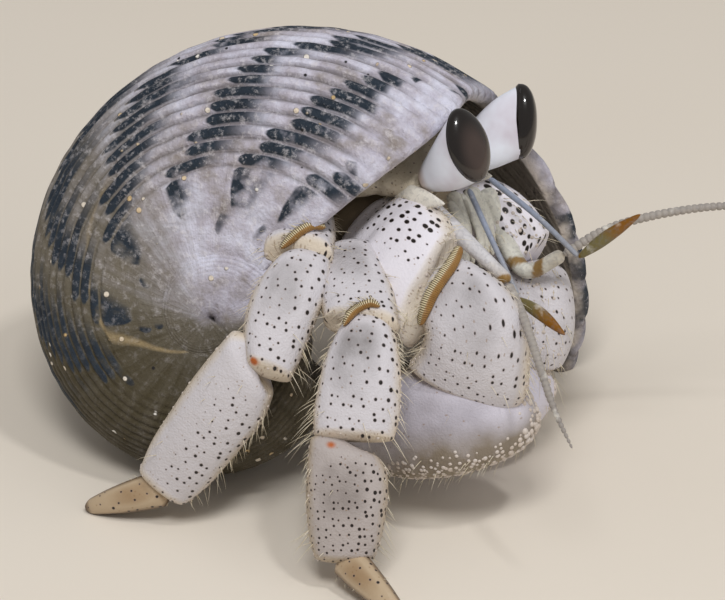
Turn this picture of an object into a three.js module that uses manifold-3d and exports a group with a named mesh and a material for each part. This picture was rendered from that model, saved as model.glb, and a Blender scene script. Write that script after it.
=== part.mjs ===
// A land hermit crab at rest, drawn half out of the nerite shell that it carries.
//
// Millimetres. +X is the way the crab heads, +Y its left, +Z up. The dimensions below are
// in the frame that the shell was drawn in, and the whole is moved to the ground at the end.
// Limbs, feelers and eyes are lofts: rings of a rounded section along a short spine. The
// shell is a logarithmic spiral of such rings. Where two pieces meet, the later one is cut
// clear of the earlier one, so that every node is a closed body of its own.
import * as THREE from 'three';
import Module from 'manifold-3d';

const wasm = await Module();
wasm.setup();

// ---- Driving dimensions ------------------------------------------------------------

const GAP = 0.06;                     // left between two pieces that meet
const MIDDLE = [-0.06, 1.5];          // of the whole animal, seen from above
const GROUND = 0.45;                  // the height at which shell and feet are cut flat
const FINEST_FACE = 0.03;             // smaller steps in a cut surface are smoothed away

// The shell, a nerite: few whorls that widen fast, a flat spire and a wide mouth.
const SHELL = {
  pole: [-5.28, -5.74, 9.69],         // tip of the spire, where the spiral starts
  axis: [0.2123, -0.8830, 0.4186],    // coiling axis, out of the spire: right and up
  lip: [0.6069, 0.4549, 0.6517],      // from the axis towards the mouth's upper lip
  widening: 0.185,                    // log of the growth for each radian
  tubeRadius: 8.05,                   // half the last whorl, away from the axis
  tubeOffset: 8.2,                    // its middle's distance from the axis
  tubeHalfHeight: 8.4,                // half the last whorl, along the axis
  tubeDrop: 8.5,                      // its middle's depth below the pole
  baseTaper: 0.07,                    // the base is narrower than the shoulder
  innerSquareness: 4.5,               // fills the whorl out towards the axis
  wall: 0.9,
  cavityStart: -1.75,                 // how far back the hollow goes, in radians
  sides: 30,                          // faces round the tube
};

// The pillar that the whorls turn about: depths below the pole, and its lean into the wall.
const COLUMELLA = { depths: [0.35, 7.5, 15], leans: [0, 0.3, 1.9], halfWidths: [0.4, 0.9, 1.2, 1.5] };

// The mouth's rim runs ahead of a plain cross cut on the side away from the spire, and
// falls back over the eyes. Turns in radians, angles round the tube in degrees.
const RIM = {
  start: -0.05,
  swells: [
    { turn: 1.12, at: -82, width: 44 },
    { turn: -0.09, at: 2, width: 32 },
    { turn: -0.17, at: -28, width: 14 },
  ],
};

// The way that the broad side of each right and left limb looks.
const OUT_RIGHT = [0.46, -0.74, 0.49];
const OUT_LEFT = [0.40, 0.80, 0.45];

// Eyes: flattened stalks that widen to a tall cornea over their ends. A stalk's widths, at
// its base, its neck and its rim, are shares of the cornea's half height.
const EYES = {
  right: {
    base: [1.55, 3.25, 15.2], neck: [2.65, 3.35, 16.3], centre: [4.2, 3.45, 17.85],
    gaze: [0.85, -0.18, 0.5], face: [0.3, -0.95, 0.1],
    widths: [0.35, 0.7, 0.9, 0.95], halfHeight: 1.87, halfThickness: 1.2,
  },
  left: {
    base: [0.6, 7.4, 14.8], neck: [1.6, 8.25, 15.35], centre: [3.7, 9.6, 16.2],
    gaze: [0.88, 0.46, 0.08], face: [-0.55, 0.83, 0.1],
    widths: [0.4, 0.9, 0.98, 0.97], halfHeight: 2.0, halfThickness: 0.85,
  },
};
const CORNEA_REACH = 0.45;            // from a cornea's widest ring to either end of it
const STALK_RIM = 0.4;                // the last length of a stalk, square to its cornea

// Chelipeds: an upper arm (merus), a wrist (carpus), a hand (palm, with the fixed finger)
// and the moving finger. Half widths and half thicknesses are read evenly along the spine.
const CHELIPEDS = {
  right: {
    merus: {
      spine: [[-1.3, 2.5, 11.6], [2.1, 0.5, 11.8], [4.5, -0.5, 11.2]],
      across: [2.1, 2.8, 3.2, 2.7], through: [1.4, 1.7, 1.8, 1.5], face: OUT_RIGHT,
    },
    carpus: {
      spine: [[4.5, 0.9, 12.3], [6.8, -0.8, 10.4], [6.5, -1.5, 7.3]],
      across: [1.5, 2.5, 2.75, 2.4], through: [1.5, 1.8, 1.8, 1.4], face: OUT_RIGHT,
    },
    palm: {
      spine: [[8.3, 1.0, 5.9], [8.0, -0.8, 6.0], [6.5, -2.1, 5.8],
        [4.1, -2.3, 5.0], [1.5, -2.0, 3.6], [-0.6, -1.6, 2.2]],
      across: [1.3, 2.2, 2.6, 2.5, 1.7, 0.5], through: [1.1, 1.7, 1.9, 1.7, 1.1, 0.4],
      face: OUT_RIGHT,
    },
    finger: {
      spine: [[3.6, -0.3, 6.0], [1.6, 0.2, 4.6], [-0.4, -0.4, 2.9]],
      across: [1.0, 1.0, 0.7, 0.3], through: [0.9, 0.9, 0.7, 0.3], face: OUT_RIGHT,
    },
  },
  left: {
    merus: {
      spine: [[-1.0, 8.2, 10.8], [2.0, 8.8, 10.6], [4.4, 8.8, 9.1]],
      across: [1.7, 2.3, 2.4, 2.0], through: [1.3, 1.6, 1.7, 1.4], face: OUT_LEFT,
    },
    carpus: {
      spine: [[4.6, 8.5, 8.9], [5.4, 7.4, 6.8], [5.6, 6.3, 4.6]],
      across: [1.6, 2.3, 2.4, 2.0], through: [1.4, 1.8, 1.8, 1.4], face: OUT_LEFT,
    },
    palm: {
      spine: [[5.7, 6.6, 4.0], [5.5, 4.9, 3.4], [4.3, 3.4, 3.0], [2.6, 2.4, 2.5], [0.6, 1.8, 1.5]],
      across: [1.4, 2.3, 2.5, 2.1, 1.2, 0.4], through: [1.2, 1.8, 2.0, 1.7, 1.0, 0.4],
      face: [0.75, 0.1, -0.65],
    },
    finger: {
      spine: [[2.4, 4.6, 4.4], [0.9, 3.7, 3.4], [-0.6, 2.7, 2.0]],
      across: [0.9, 0.9, 0.6, 0.25], through: [0.8, 0.8, 0.6, 0.25], face: [0.75, 0.1, -0.65],
    },
  },
};

// Walking legs: hip, and the far ends of merus, carpus, propodus and dactyl. The right
// ones stand outside the shell, and the left ones are folded under its mouth.
const LEGS = {
  front_right: {
    joints: [[-0.5, -0.3, 12.2], [2.3, -4.1, 11.15], [4.0, -8.0, 7.1], [5.45, -10.05, 1.75],
      [9.4, -11.5, 0.68]],
    face: OUT_RIGHT, halfWidth: 1.9, halfThickness: 1.3,
  },
  rear_right: {
    joints: [[-4.0, 1.0, 12.6], [-1.85, -2.7, 13.0], [-1.1, -7.45, 9.65], [-5.4, -9.55, 2.1],
      [-8.8, -11.0, 0.68]],
    face: OUT_RIGHT, halfWidth: 1.95, halfThickness: 1.3,
  },
  front_left: {
    joints: [[-0.7, 9.6, 8.4], [3.0, 10.6, 6.7], [4.75, 9.95, 3.9], [1.55, 10.4, 1.55], [-1.9, 10.1, 0.62]],
    face: OUT_LEFT, halfWidth: 1.5, halfThickness: 1.1,
  },
  rear_left: {
    joints: [[-3.6, 7.4, 8.0], [0.35, 8.1, 5.95], [2.35, 7.95, 3.0], [-1.05, 7.6, 1.45], [-4.2, 7.4, 0.62]],
    face: OUT_LEFT, halfWidth: 1.4, halfThickness: 1.05,
  },
};

// A leg's segments, hip to tip: the share of the leg's half width and half thickness read
// evenly along each, and how far its middle bows out, as a share of its half thickness.
const LEG_SEGMENTS = {
  merus: { across: [0.8, 0.95, 1, 0.85], through: [0.85, 0.92, 0.92, 0.85], bow: 0.15 },
  carpus: { across: [0.72, 1, 1.03, 0.82], through: [0.85, 1, 1, 0.85], bow: 0.35 },
  propodus: { across: [0.76, 1, 0.98, 0.86], through: [0.85, 1, 0.96, 0.78], bow: 0.12 },
  dactyl: { across: [0.47, 0.42, 0.32, 0.16], through: [0.62, 0.58, 0.46, 0.24], bow: 0.1 },
};
const CARVING_ORDER = ['propodus', 'carpus', 'merus', 'dactyl'];

// Feelers and mouthparts, each on its own spine.
const FEELERS = {
  antenna_base_right: {
    spine: [[1.9, 3.3, 13.7], [4.6, 2.3, 13.0], [7.1, 1.8, 11.9]],
    across: [0.5, 0.5, 0.42, 0.36], through: [0.45, 0.45, 0.4, 0.34], rings: 5,
  },
  antenna_base_left: {
    spine: [[2.4, 7.5, 12.9], [3.6, 7.2, 11.0], [5.5, 6.3, 9.9], [7.2, 6.8, 11.0]],
    across: [0.5, 0.5, 0.45, 0.38, 0.34], through: [0.45, 0.45, 0.4, 0.34], rings: 8,
  },
  antenna_whip_right: {
    spine: [[7.3, 1.6, 11.75], [9.2, -0.2, 11.4], [11.1, -2.0, 10.4], [13.0, -3.7, 9.2], [14.6, -4.8, 8.2]],
    across: [0.3, 0.27, 0.25], through: [0.3, 0.27, 0.25], rings: 10,
  },
  antenna_whip_left: {
    spine: [[7.35, 6.9, 11.1], [8.5, 8.2, 12.0], [10.0, 9.5, 12.6], [13.3, 12.0, 13.1], [17.0, 14.6, 12.6]],
    across: [0.3, 0.27, 0.25], through: [0.3, 0.27, 0.25], rings: 12,
  },
  antennule_stem_right: {
    spine: [[3.0, 5.0, 14.2], [5.2, 3.6, 12.6], [7.3, 2.4, 10.9]],
    across: [0.3, 0.28, 0.26], through: [0.3, 0.28, 0.26], rings: 5,
  },
  antennule_tip_right: {
    spine: [[7.5, 2.2, 10.8], [9.0, 1.7, 10.7], [10.6, 1.2, 10.3]],
    across: [0.28, 0.4, 0.3], through: [0.25, 0.27, 0.25], rings: 5,
  },
  antennule_stem_left: {
    spine: [[2.9, 7.2, 13.8], [6.0, 6.4, 13.0], [8.9, 5.3, 12.2]],
    across: [0.3, 0.28, 0.26], through: [0.3, 0.28, 0.26], rings: 5,
  },
  antennule_tip_left: {
    spine: [[9.1, 5.3, 12.2], [10.3, 5.9, 13.4], [11.6, 6.5, 14.6]],
    across: [0.28, 0.4, 0.3], through: [0.25, 0.27, 0.25], rings: 5,
  },
  acicle_right: {
    spine: [[0.3, 2.8, 14.2], [2.0, 2.4, 14.6], [3.4, 1.9, 15.0]],
    across: [0.7, 0.6, 0.25], through: [0.3, 0.28, 0.25], rings: 5,
  },
  acicle_left: {
    spine: [[0.2, 8.0, 12.9], [1.3, 8.1, 13.2], [2.4, 8.0, 13.5]],
    across: [0.7, 0.6, 0.25], through: [0.3, 0.28, 0.25], rings: 5,
  },
  maxilliped_right: {
    spine: [[2.4, 4.9, 13.9], [3.5, 4.3, 12.4], [4.0, 3.4, 10.9]],
    across: [0.6, 0.55, 0.4], through: [0.4, 0.4, 0.35], rings: 5,
  },
  maxilliped_left: {
    spine: [[2.8, 6.2, 13.7], [3.9, 5.7, 12.1], [4.4, 4.8, 10.6]],
    across: [0.6, 0.55, 0.4], through: [0.4, 0.4, 0.35], rings: 5,
  },
};

// The trunk: the hard shield behind the eyes, the soft thorax that the legs grow from,
// and the abdomen, which fills the hollow of the last whorl.
const TRUNK = {
  shield: {
    spine: [[-6.0, 3.6, 13.4], [-2.6, 4.6, 14.9], [1.3, 5.9, 14.9]],
    across: [2.6, 3.2, 3.1, 2.6], through: [0.8, 1.1, 1.1, 0.8], face: [0, -0.15, 1],
  },
  thorax: {
    spine: [[-6.4, 3.4, 9.2], [-3.0, 4.6, 10.6], [1.4, 5.6, 11.6]],
    across: [2.6, 3.4, 3.4, 2.4], through: [2.4, 2.8, 2.8, 2.0], face: [0, 0, 1],
  },
};
const ABDOMEN = { from: -1.6, to: -0.5, clearOfWall: 0.7 };

const LOOKS = {
  shell: { color: 0xb9b4bd, roughness: 0.65, metalness: 0 },
  plate: { color: 0xd6d1d6, roughness: 0.45, metalness: 0 },
  claw: { color: 0xe4dfe2, roughness: 0.35, metalness: 0 },
  claw_tip: { color: 0x8a6a3c, roughness: 0.4, metalness: 0 },
  eyestalk: { color: 0xf0eef2, roughness: 0.35, metalness: 0 },
  cornea: { color: 0x4a403c, roughness: 0.15, metalness: 0 },
  feeler: { color: 0x8d8a80, roughness: 0.45, metalness: 0 },
  flesh: { color: 0xc9a58c, roughness: 0.6, metalness: 0 },
};

// ---- Lofts -------------------------------------------------------------------------

const point = ([x, y, z]) => new THREE.Vector3(x, y, z);
const signedPower = (value, power) => Math.sign(value) * Math.abs(value) ** power;

// A value read off evenly spaced samples.
function along(samples, t) {
  const place = t * (samples.length - 1);
  const before = Math.min(Math.floor(place), samples.length - 2);
  return THREE.MathUtils.lerp(samples[before], samples[before + 1], place - before);
}

// A closed body through rings of points, with a fan of faces over each end.
function loft(rings) {
  const sides = rings[0].length;
  const middle = (ring) => ring.reduce((sum, p) => sum.add(p), new THREE.Vector3()).divideScalar(sides);
  const points = [...rings.flat(), middle(rings[0]), middle(rings.at(-1))];
  const startMiddle = points.length - 2;
  const endMiddle = points.length - 1;
  const lastRing = (rings.length - 1) * sides;
  const faces = [];
  for (let j = 0; j < sides; j += 1) {
    const k = (j + 1) % sides;
    for (let a = 0; a < lastRing; a += sides) {
      const b = a + sides;
      faces.push([a + j, a + k, b + k], [a + j, b + k, b + j]);
    }
    faces.push([startMiddle, k, j], [endMiddle, lastRing + j, lastRing + k]);
  }
  return solid(points, faces);
}

// A solid from points and faces, turned the right way out.
function solid(points, faces) {
  const cone = ([a, b, c]) => points[a].dot(new THREE.Vector3().crossVectors(points[b], points[c]));
  const insideOut = faces.reduce((sum, face) => sum + cone(face), 0) < 0;
  return new wasm.Manifold(new wasm.Mesh({
    numProp: 3,
    vertProperties: new Float32Array(points.flatMap((p) => [p.x, p.y, p.z])),
    triVerts: new Uint32Array(faces.flatMap(([a, b, c]) => (insideOut ? [a, c, b] : [a, b, c]))),
  }));
}

// A limb segment, feeler or stalk. Its broad side looks along `face`; `across` and
// `through` are half widths along the spine, and `grow` swells it all over.
function limb({ spine, across, through, face, sides = 10, rings = 6, squareness = 2.4 }, grow = 0) {
  const curve = new THREE.CatmullRomCurve3(spine.map(point), false, 'centripetal');
  const list = [];
  for (let i = 0; i < rings; i += 1) {
    const t = i / (rings - 1);
    const tangent = curve.getTangent(t);
    const endGrowth = (Number(i === rings - 1) - Number(i === 0)) * grow;
    const centre = curve.getPoint(t).addScaledVector(tangent, endGrowth);
    const side = new THREE.Vector3().crossVectors(tangent, point(face)).normalize();
    const normal = new THREE.Vector3().crossVectors(side, tangent);
    const ring = [];
    for (let j = 0; j < sides; j += 1) {
      const angle = (j / sides) * 2 * Math.PI;
      ring.push(centre.clone()
        .addScaledVector(side, (along(across, t) + grow) * signedPower(Math.cos(angle), 2 / squareness))
        .addScaledVector(normal, (along(through, t) + grow) * signedPower(Math.sin(angle), 2 / squareness)));
    }
    list.push(ring);
  }
  return loft(list);
}

// ---- The shell ---------------------------------------------------------------------

const coilAxis = point(SHELL.axis).normalize();
const toLip = point(SHELL.lip).projectOnPlane(coilAxis).normalize();
const acrossLip = new THREE.Vector3().crossVectors(coilAxis, toLip);

// A point of the spiral tube: `turn` in radians, 0 at the lip and less towards the spire;
// `round` is the angle round the tube, a quarter turn on the side of the spire. `inset`
// draws it in by millimetres, and `shrink` by a share.
function onShell(turn, round, inset, shrink = 1) {
  const size = Math.exp(SHELL.widening * turn);
  const squareness = Math.cos(round) < 0 ? SHELL.innerSquareness : 2;
  const outward = shrink * signedPower(Math.cos(round), 2 / squareness);
  const upward = shrink * signedPower(Math.sin(round), 2 / squareness);
  const halfWidth = size * SHELL.tubeRadius * (1 + SHELL.baseTaper * upward) - inset;
  const halfHeight = size * SHELL.tubeHalfHeight - inset;
  const radius = size * SHELL.tubeOffset + outward * halfWidth;
  return point(SHELL.pole)
    .addScaledVector(toLip, radius * Math.cos(turn))
    .addScaledVector(acrossLip, -radius * Math.sin(turn))
    .addScaledVector(coilAxis, upward * halfHeight - size * SHELL.tubeDrop);
}

// The turn that the rim reaches at each angle round the tube.
function rimTurn(round) {
  return RIM.swells.reduce((sum, { turn, at, width }) => {
    const degrees = THREE.MathUtils.radToDeg(round) - at;
    const away = THREE.MathUtils.euclideanModulo(degrees + 180, 360) - 180;
    return sum + turn * Math.exp(-((away / width) ** 2));
  }, RIM.start);
}

// A length of the tube. `end` gives its last turn at each angle round, and a blind start
// is drawn in to a rounded tip.
function whorl({ from, end, rings, sides, inset = 0, blindStart = false }) {
  const list = [];
  for (let i = 0; i < rings; i += 1) {
    const t = i / (rings - 1);
    const shrink = blindStart ? Math.sqrt(1 - 0.85 * (1 - Math.min(t / 0.3, 1)) ** 2) : 1;
    const ring = [];
    for (let j = 0; j < sides; j += 1) {
      const round = (j / sides) * 2 * Math.PI;
      ring.push(onShell(THREE.MathUtils.lerp(from, end(round), t), round, inset, shrink));
    }
    list.push(ring);
  }
  return loft(list);
}

// The solid pillar that the whorls turn about.
function columella(grow) {
  const { depths, leans, halfWidths } = COLUMELLA;
  const spine = depths.map((depth, i) => point(SHELL.pole)
    .addScaledVector(coilAxis, -depth)
    .addScaledVector(acrossLip, leans[i])
    .toArray());
  const round = { across: halfWidths, through: halfWidths, face: SHELL.lip, sides: 16, squareness: 2 };
  return limb({ spine, ...round }, grow);
}

function shell(grow) {
  const sides = SHELL.sides;
  const lengths = [
    { from: -3.6 * Math.PI, end: () => -3 * Math.PI, rings: 5 },
    { from: -3 * Math.PI, end: () => -2 * Math.PI, rings: 9 },
    { from: -2 * Math.PI, end: () => -Math.PI, rings: 11 },
    { from: -Math.PI, end: rimTurn, rings: 15 },
  ];
  const body = lengths
    .map((length) => whorl({ ...length, sides, inset: -grow }))
    .reduce((sum, piece) => sum.add(piece), columella(grow));
  const hollow = whorl({
    from: SHELL.cavityStart,
    end: (round) => rimTurn(round) + 0.3,
    rings: 11,
    sides,
    inset: SHELL.wall + grow,
    blindStart: true,
  });
  return body.subtract(hollow);
}

function abdomen(grow) {
  const inset = SHELL.wall + ABDOMEN.clearOfWall - grow;
  return whorl({ from: ABDOMEN.from, end: () => ABDOMEN.to, rings: 6, sides: 12, inset, blindStart: true });
}

// ---- The crab ----------------------------------------------------------------------

function cornea({ centre, gaze, face, halfHeight, halfThickness }, grow) {
  const ahead = point(gaze).normalize();
  const spine = [-CORNEA_REACH, 0, CORNEA_REACH]
    .map((reach) => point(centre).addScaledVector(ahead, reach).toArray());
  const across = [0.94, 1, 0.91, 0.59, 0.16].map((share) => share * halfHeight);
  const through = [0.9, 1, 0.9, 0.6, 0.2].map((share) => share * halfThickness);
  return limb({ spine, across, through, face, rings: 5, sides: 14, squareness: 2 }, grow);
}

function eyestalk({ base, neck, centre, widths, gaze, face, halfHeight, halfThickness }, grow) {
  const ahead = point(gaze).normalize();
  const behindCentre = (reach) => point(centre).addScaledVector(ahead, -reach).toArray();
  const end = CORNEA_REACH + 4 * GAP;
  const spine = [base, neck, behindCentre(end + STALK_RIM), behindCentre(end)];
  const across = widths.map((share) => share * halfHeight);
  const through = [0.65, 0.8, 0.9, 0.9].map((share) => share * halfThickness);
  return limb({ spine, across, through, face, rings: 7, sides: 12 }, grow);
}

function legSegment({ joints, face, halfWidth, halfThickness }, segment, grow) {
  const { across, through, bow } = LEG_SEGMENTS[segment];
  const i = Object.keys(LEG_SEGMENTS).indexOf(segment);
  const middle = point(joints[i])
    .lerp(point(joints[i + 1]), 0.5)
    .addScaledVector(point(face), bow * halfThickness);
  return limb({
    spine: [joints[i], middle.toArray(), joints[i + 1]],
    across: across.map((share) => share * halfWidth),
    through: through.map((share) => share * halfThickness),
    face,
  }, grow);
}

// Every piece by name, with its look, in the order in which they are carved: each is cut
// clear of the ones before it.
function* listPieces() {
  yield ['shell', 'shell', shell];
  for (const [hand, eye] of Object.entries(EYES)) {
    yield [`cornea_${hand}`, 'cornea', (grow) => cornea(eye, grow)];
    yield [`eyestalk_${hand}`, 'eyestalk', (grow) => eyestalk(eye, grow)];
  }
  for (const [hand, { palm, carpus, merus, finger }] of Object.entries(CHELIPEDS)) {
    yield [`cheliped_${hand}_palm`, 'claw', (grow) => limb({ ...palm, sides: 12 }, grow)];
    yield [`cheliped_${hand}_carpus`, 'plate', (grow) => limb({ ...carpus, sides: 12 }, grow)];
    yield [`cheliped_${hand}_merus`, 'plate', (grow) => limb({ ...merus, sides: 12 }, grow)];
    yield [`cheliped_${hand}_finger`, 'claw', (grow) => limb(finger, grow)];
  }
  for (const [which, leg] of Object.entries(LEGS)) {
    for (const segment of CARVING_ORDER) {
      const look = segment === 'dactyl' ? 'claw_tip' : 'plate';
      yield [`leg_${which}_${segment}`, look, (grow) => legSegment(leg, segment, grow)];
    }
  }
  for (const [name, feeler] of Object.entries(FEELERS)) {
    const look = /antenna_whip|antennule/.test(name) ? 'feeler' : 'plate';
    yield [name, look, (grow) => limb({ face: OUT_RIGHT, sides: 8, squareness: 2, ...feeler }, grow)];
  }
  yield ['shield', 'plate', (grow) => limb(TRUNK.shield, grow)];
  yield ['thorax', 'flesh', (grow) => limb(TRUNK.thorax, grow)];
  yield ['abdomen', 'flesh', abdomen];
}

// ---- Assembly ----------------------------------------------------------------------

function boxesMeet(a, b) {
  const p = a.boundingBox();
  const q = b.boundingBox();
  return [0, 1, 2].every((i) => p.min[i] < q.max[i] && q.min[i] < p.max[i]);
}

const largest = (body) => body.decompose().sort((a, b) => b.volume() - a.volume())[0];

const animal = new THREE.Group();
const carvers = [];
for (const [name, look, build] of listPieces()) {
  const body = carvers
    .reduce((rest, carver) => (boxesMeet(rest, carver) ? rest.subtract(carver) : rest), build(0))
    .trimByPlane([0, 0, 1], GROUND)
    .simplify(FINEST_FACE);
  carvers.push(build(GAP));
  const { vertProperties, triVerts } = largest(body).getMesh();
  const geometry = new THREE.BufferGeometry();
  geometry.setAttribute('position', new THREE.BufferAttribute(vertProperties, 3));
  geometry.setIndex(new THREE.BufferAttribute(triVerts, 1));
  geometry.translate(-MIDDLE[0], -MIDDLE[1], -GROUND);
  const mesh = new THREE.Mesh(geometry, new THREE.MeshStandardMaterial(LOOKS[look]));
  mesh.name = name;
  animal.add(mesh);
}

export default animal;
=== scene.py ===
# %% [markdown]
# # A land hermit crab at rest in a nerite shell
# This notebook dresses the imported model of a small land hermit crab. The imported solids
# are faceted and plain. Here each hard part gets a smooth surface with its own pattern,
# the shell gets its inner wall, the soft trunk gets one skin, and bristles and tubercles
# are grown on the plates.
# Everything is drawn in millimetres, around the shell's own spiral, and is turned into
# metres on the ground only when a mesh is made.

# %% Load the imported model
import math

import bmesh
import bpy
import numpy as np
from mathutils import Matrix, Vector


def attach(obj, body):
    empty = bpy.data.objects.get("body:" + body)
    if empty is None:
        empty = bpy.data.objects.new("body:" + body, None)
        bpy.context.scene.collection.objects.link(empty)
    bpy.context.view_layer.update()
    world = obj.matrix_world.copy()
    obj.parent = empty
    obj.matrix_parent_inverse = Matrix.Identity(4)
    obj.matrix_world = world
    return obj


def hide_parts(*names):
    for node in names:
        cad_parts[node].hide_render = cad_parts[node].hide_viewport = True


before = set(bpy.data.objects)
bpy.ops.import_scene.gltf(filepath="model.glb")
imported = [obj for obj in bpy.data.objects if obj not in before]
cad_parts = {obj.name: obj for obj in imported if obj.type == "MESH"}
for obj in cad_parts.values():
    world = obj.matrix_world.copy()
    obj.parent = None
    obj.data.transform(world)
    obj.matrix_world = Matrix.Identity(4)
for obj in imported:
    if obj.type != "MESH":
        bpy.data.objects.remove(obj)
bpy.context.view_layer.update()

# %% [markdown]
# ## From drawing to ground
# The shell was drawn around its own spiral, so the whole animal is moved to stand in the
# middle of the floor. A point below the floor is lifted to it, which gives the shell and
# the feet the small flats that they rest on.

# %% Place points
MIDDLE = np.array([-0.06, 1.5, 0.45])  # mm, the drawing's point that becomes the origin
MM = 0.001


def place(points):
    moved = (np.asarray(points, float) - MIDDLE) * MM
    moved[..., 2] = np.maximum(moved[..., 2], 0)
    return moved


print("the drawing's middle stands at", place(MIDDLE), "m")

# %% [markdown]
# ## Camera
# The animal is seen from its right, from a little above, with a long lens from 30 cm, as
# in close-up work. The camera and its aim come first, so that every look is judged
# through it.

# %% Aim the camera
TARGET = Vector((0.06, -1.5, 9.15)) * MM
AZIMUTH, ELEVATION = math.radians(32), math.radians(29)
DISTANCE = 0.3  # m, from the target
VIEW_WIDTH = 0.0352  # m across the frame at the target
SENSOR = 36  # mm
towards_camera = Vector((
    math.sin(AZIMUTH) * math.cos(ELEVATION),
    -math.cos(AZIMUTH) * math.cos(ELEVATION),
    math.sin(ELEVATION),
))
camera_data = bpy.data.cameras.new("camera")
camera_data.sensor_width = SENSOR
camera_data.lens = SENSOR * DISTANCE / VIEW_WIDTH
camera_data.clip_start = 0.01
camera = bpy.data.objects.new("camera", camera_data)
bpy.context.scene.collection.objects.link(camera)
camera.location = TARGET + towards_camera * DISTANCE
camera.rotation_euler = (-towards_camera).to_track_quat("-Z", "Y").to_euler()
bpy.context.scene.camera = camera
bpy.context.scene.view_settings.view_transform = "Standard"
print("lens", round(camera_data.lens), "mm")

# %% [markdown]
# ## Curves and widths
# Every limb, feeler and stalk follows a smooth curve through a few points, with widths
# read evenly along it. A centripetal Catmull-Rom curve passes through its points without
# loops, even where they are unevenly spaced, so it suits bent legs. The widths are read
# with a uniform one.

# %% Read a curve
def read_curve(points, shares, centripetal=True):
    """Points at these shares, 0 to 1, of a smooth curve through the given points."""
    points = np.asarray(points, float)
    if points.ndim == 1:
        points = points[:, None]
    last = len(points) - 1
    padded = np.vstack([2 * points[0] - points[1], points, 2 * points[-1] - points[-2]])
    spot = np.clip(shares, 0, 1) * last
    start = np.minimum(spot.astype(int), last - 1)
    w = (spot - start)[:, None]
    a, b, c, d = (padded[start + k] for k in range(4))
    if centripetal:
        first, middle, third = (
            np.sqrt(np.linalg.norm(q - p, axis=1))[:, None] + 1e-9
            for p, q in ((a, b), (b, c), (c, d))
        )
    else:
        first = middle = third = np.ones_like(w)
    leave = ((b - a) / first - (c - a) / (first + middle) + (c - b) / middle) * middle
    arrive = ((c - b) / middle - (d - b) / (middle + third) + (d - c) / third) * middle
    return (b + leave * w + (3 * c - 3 * b - 2 * leave - arrive) * w**2
            + (2 * b - 2 * c + leave + arrive) * w**3)


# %% Small sums
def unit(vectors):
    return vectors / np.linalg.norm(vectors, axis=-1, keepdims=True)


def signed_power(values, power):
    """A power that keeps the sign, for rounded squares and flattened ovals."""
    return np.sign(values) * np.abs(values) ** power


def smooth(low, high, values):
    """Rises from 0 at low to 1 at high, and falls where low is the larger of the two."""
    t = np.clip((values - low) / (high - low), 0, 1)
    return t * t * (3 - 2 * t)


print("half way up a smooth step:", smooth(0, 1, 0.5))


# %% [markdown]
# ## Meshes from grids
# A lofted surface is a grid of points: rings along a path, and sides round each ring.
# numpy makes the whole grid at once, which is fast, and the mesh is filled from it. Ends
# that have closed to a point become one vertex, so no pole has doubled points. A surface
# keeps its flat coordinates in millimetres in a UV map, for patterns that follow it, and
# plain numbers, such as how near a margin is, in named attributes.

# %% Faces of a grid
def grid_faces(rings, sides):
    """Corners of each face, as numbers of points and of places in a flat map."""
    i, j = np.meshgrid(np.arange(rings - 1), np.arange(sides), indexing="ij")
    k = (j + 1) % sides
    corners = np.stack([i * sides + j, i * sides + k, (i + 1) * sides + k, (i + 1) * sides + j], -1)
    spread = np.stack([i * (sides + 1) + j, i * (sides + 1) + j + 1,
                       (i + 1) * (sides + 1) + j + 1, (i + 1) * (sides + 1) + j], -1)
    return corners.reshape(-1, 4), spread.reshape(-1, 4)


def close_poles(mesh):
    """Joins the points of an end ring that has shrunk to nothing."""
    work = bmesh.new()
    work.from_mesh(mesh)
    bmesh.ops.remove_doubles(work, verts=work.verts, dist=2e-7)
    bmesh.ops.dissolve_degenerate(work, edges=work.edges, dist=1e-7)
    work.to_mesh(mesh)
    work.free()


print("three rings of eight:", len(grid_faces(3, 8)[0]), "faces")


# %% Make a mesh from a grid
def grid_mesh(name, grid, uv_name, uv, attributes, material):
    """grid: (rings, sides, 3) in mm. uv: (rings, sides + 1, 2). attributes: name -> (rings, sides)."""
    corners, spread = grid_faces(*grid.shape[:2])
    flat = grid.reshape(-1, 3)
    p, q, r, s = (flat[corners[:, k]] for k in range(4))
    volume = sum(np.einsum("ij,ij->i", p, np.cross(*two)).sum() for two in ((q, r), (r, s)))
    if volume < 0:  # the grid is inside out
        corners, spread = corners[:, ::-1], spread[:, ::-1]
    mesh = bpy.data.meshes.new(name)
    mesh.from_pydata(place(flat).tolist(), [], corners.tolist())
    layer = mesh.uv_layers.new(name=uv_name)
    layer.data.foreach_set("uv", uv.reshape(-1, 2)[spread.reshape(-1)].astype(np.float32).ravel())
    for key, values in attributes.items():
        attribute = mesh.attributes.new(key, "FLOAT", "POINT")
        attribute.data.foreach_set("value", np.asarray(values, np.float32).ravel())
    mesh.validate()
    close_poles(mesh)
    mesh.shade_smooth()
    mesh.materials.append(material)
    thing = bpy.data.objects.new(name, mesh)
    bpy.context.scene.collection.objects.link(thing)
    return thing


# %% [markdown]
# ## Node trees
# Every material and every Geometry Nodes tree is built by one small function. It adds a
# node, sets what is given, joins its inputs and gives back one of its outputs, so that a
# tree reads from top to bottom as a list of named steps. Colours are written as sRGB hex
# codes and turned to linear light by one function. A Scale on Object coordinates counts
# per metre: 1000 is one cell for each millimetre.

# %% Add a node
def add(tree, kind, inputs=None, out=0, **settings):
    """A new node with its inputs set or joined. Gives back one output, or the node."""
    node = tree.nodes.new(kind)
    for key, value in settings.items():
        setattr(node, key, value)
    for key, value in (inputs or {}).items():
        if isinstance(value, bpy.types.NodeSocket):
            tree.links.new(value, node.inputs[key])
        else:
            node.inputs[key].default_value = value
    return node if out is None else node.outputs[out]


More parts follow.
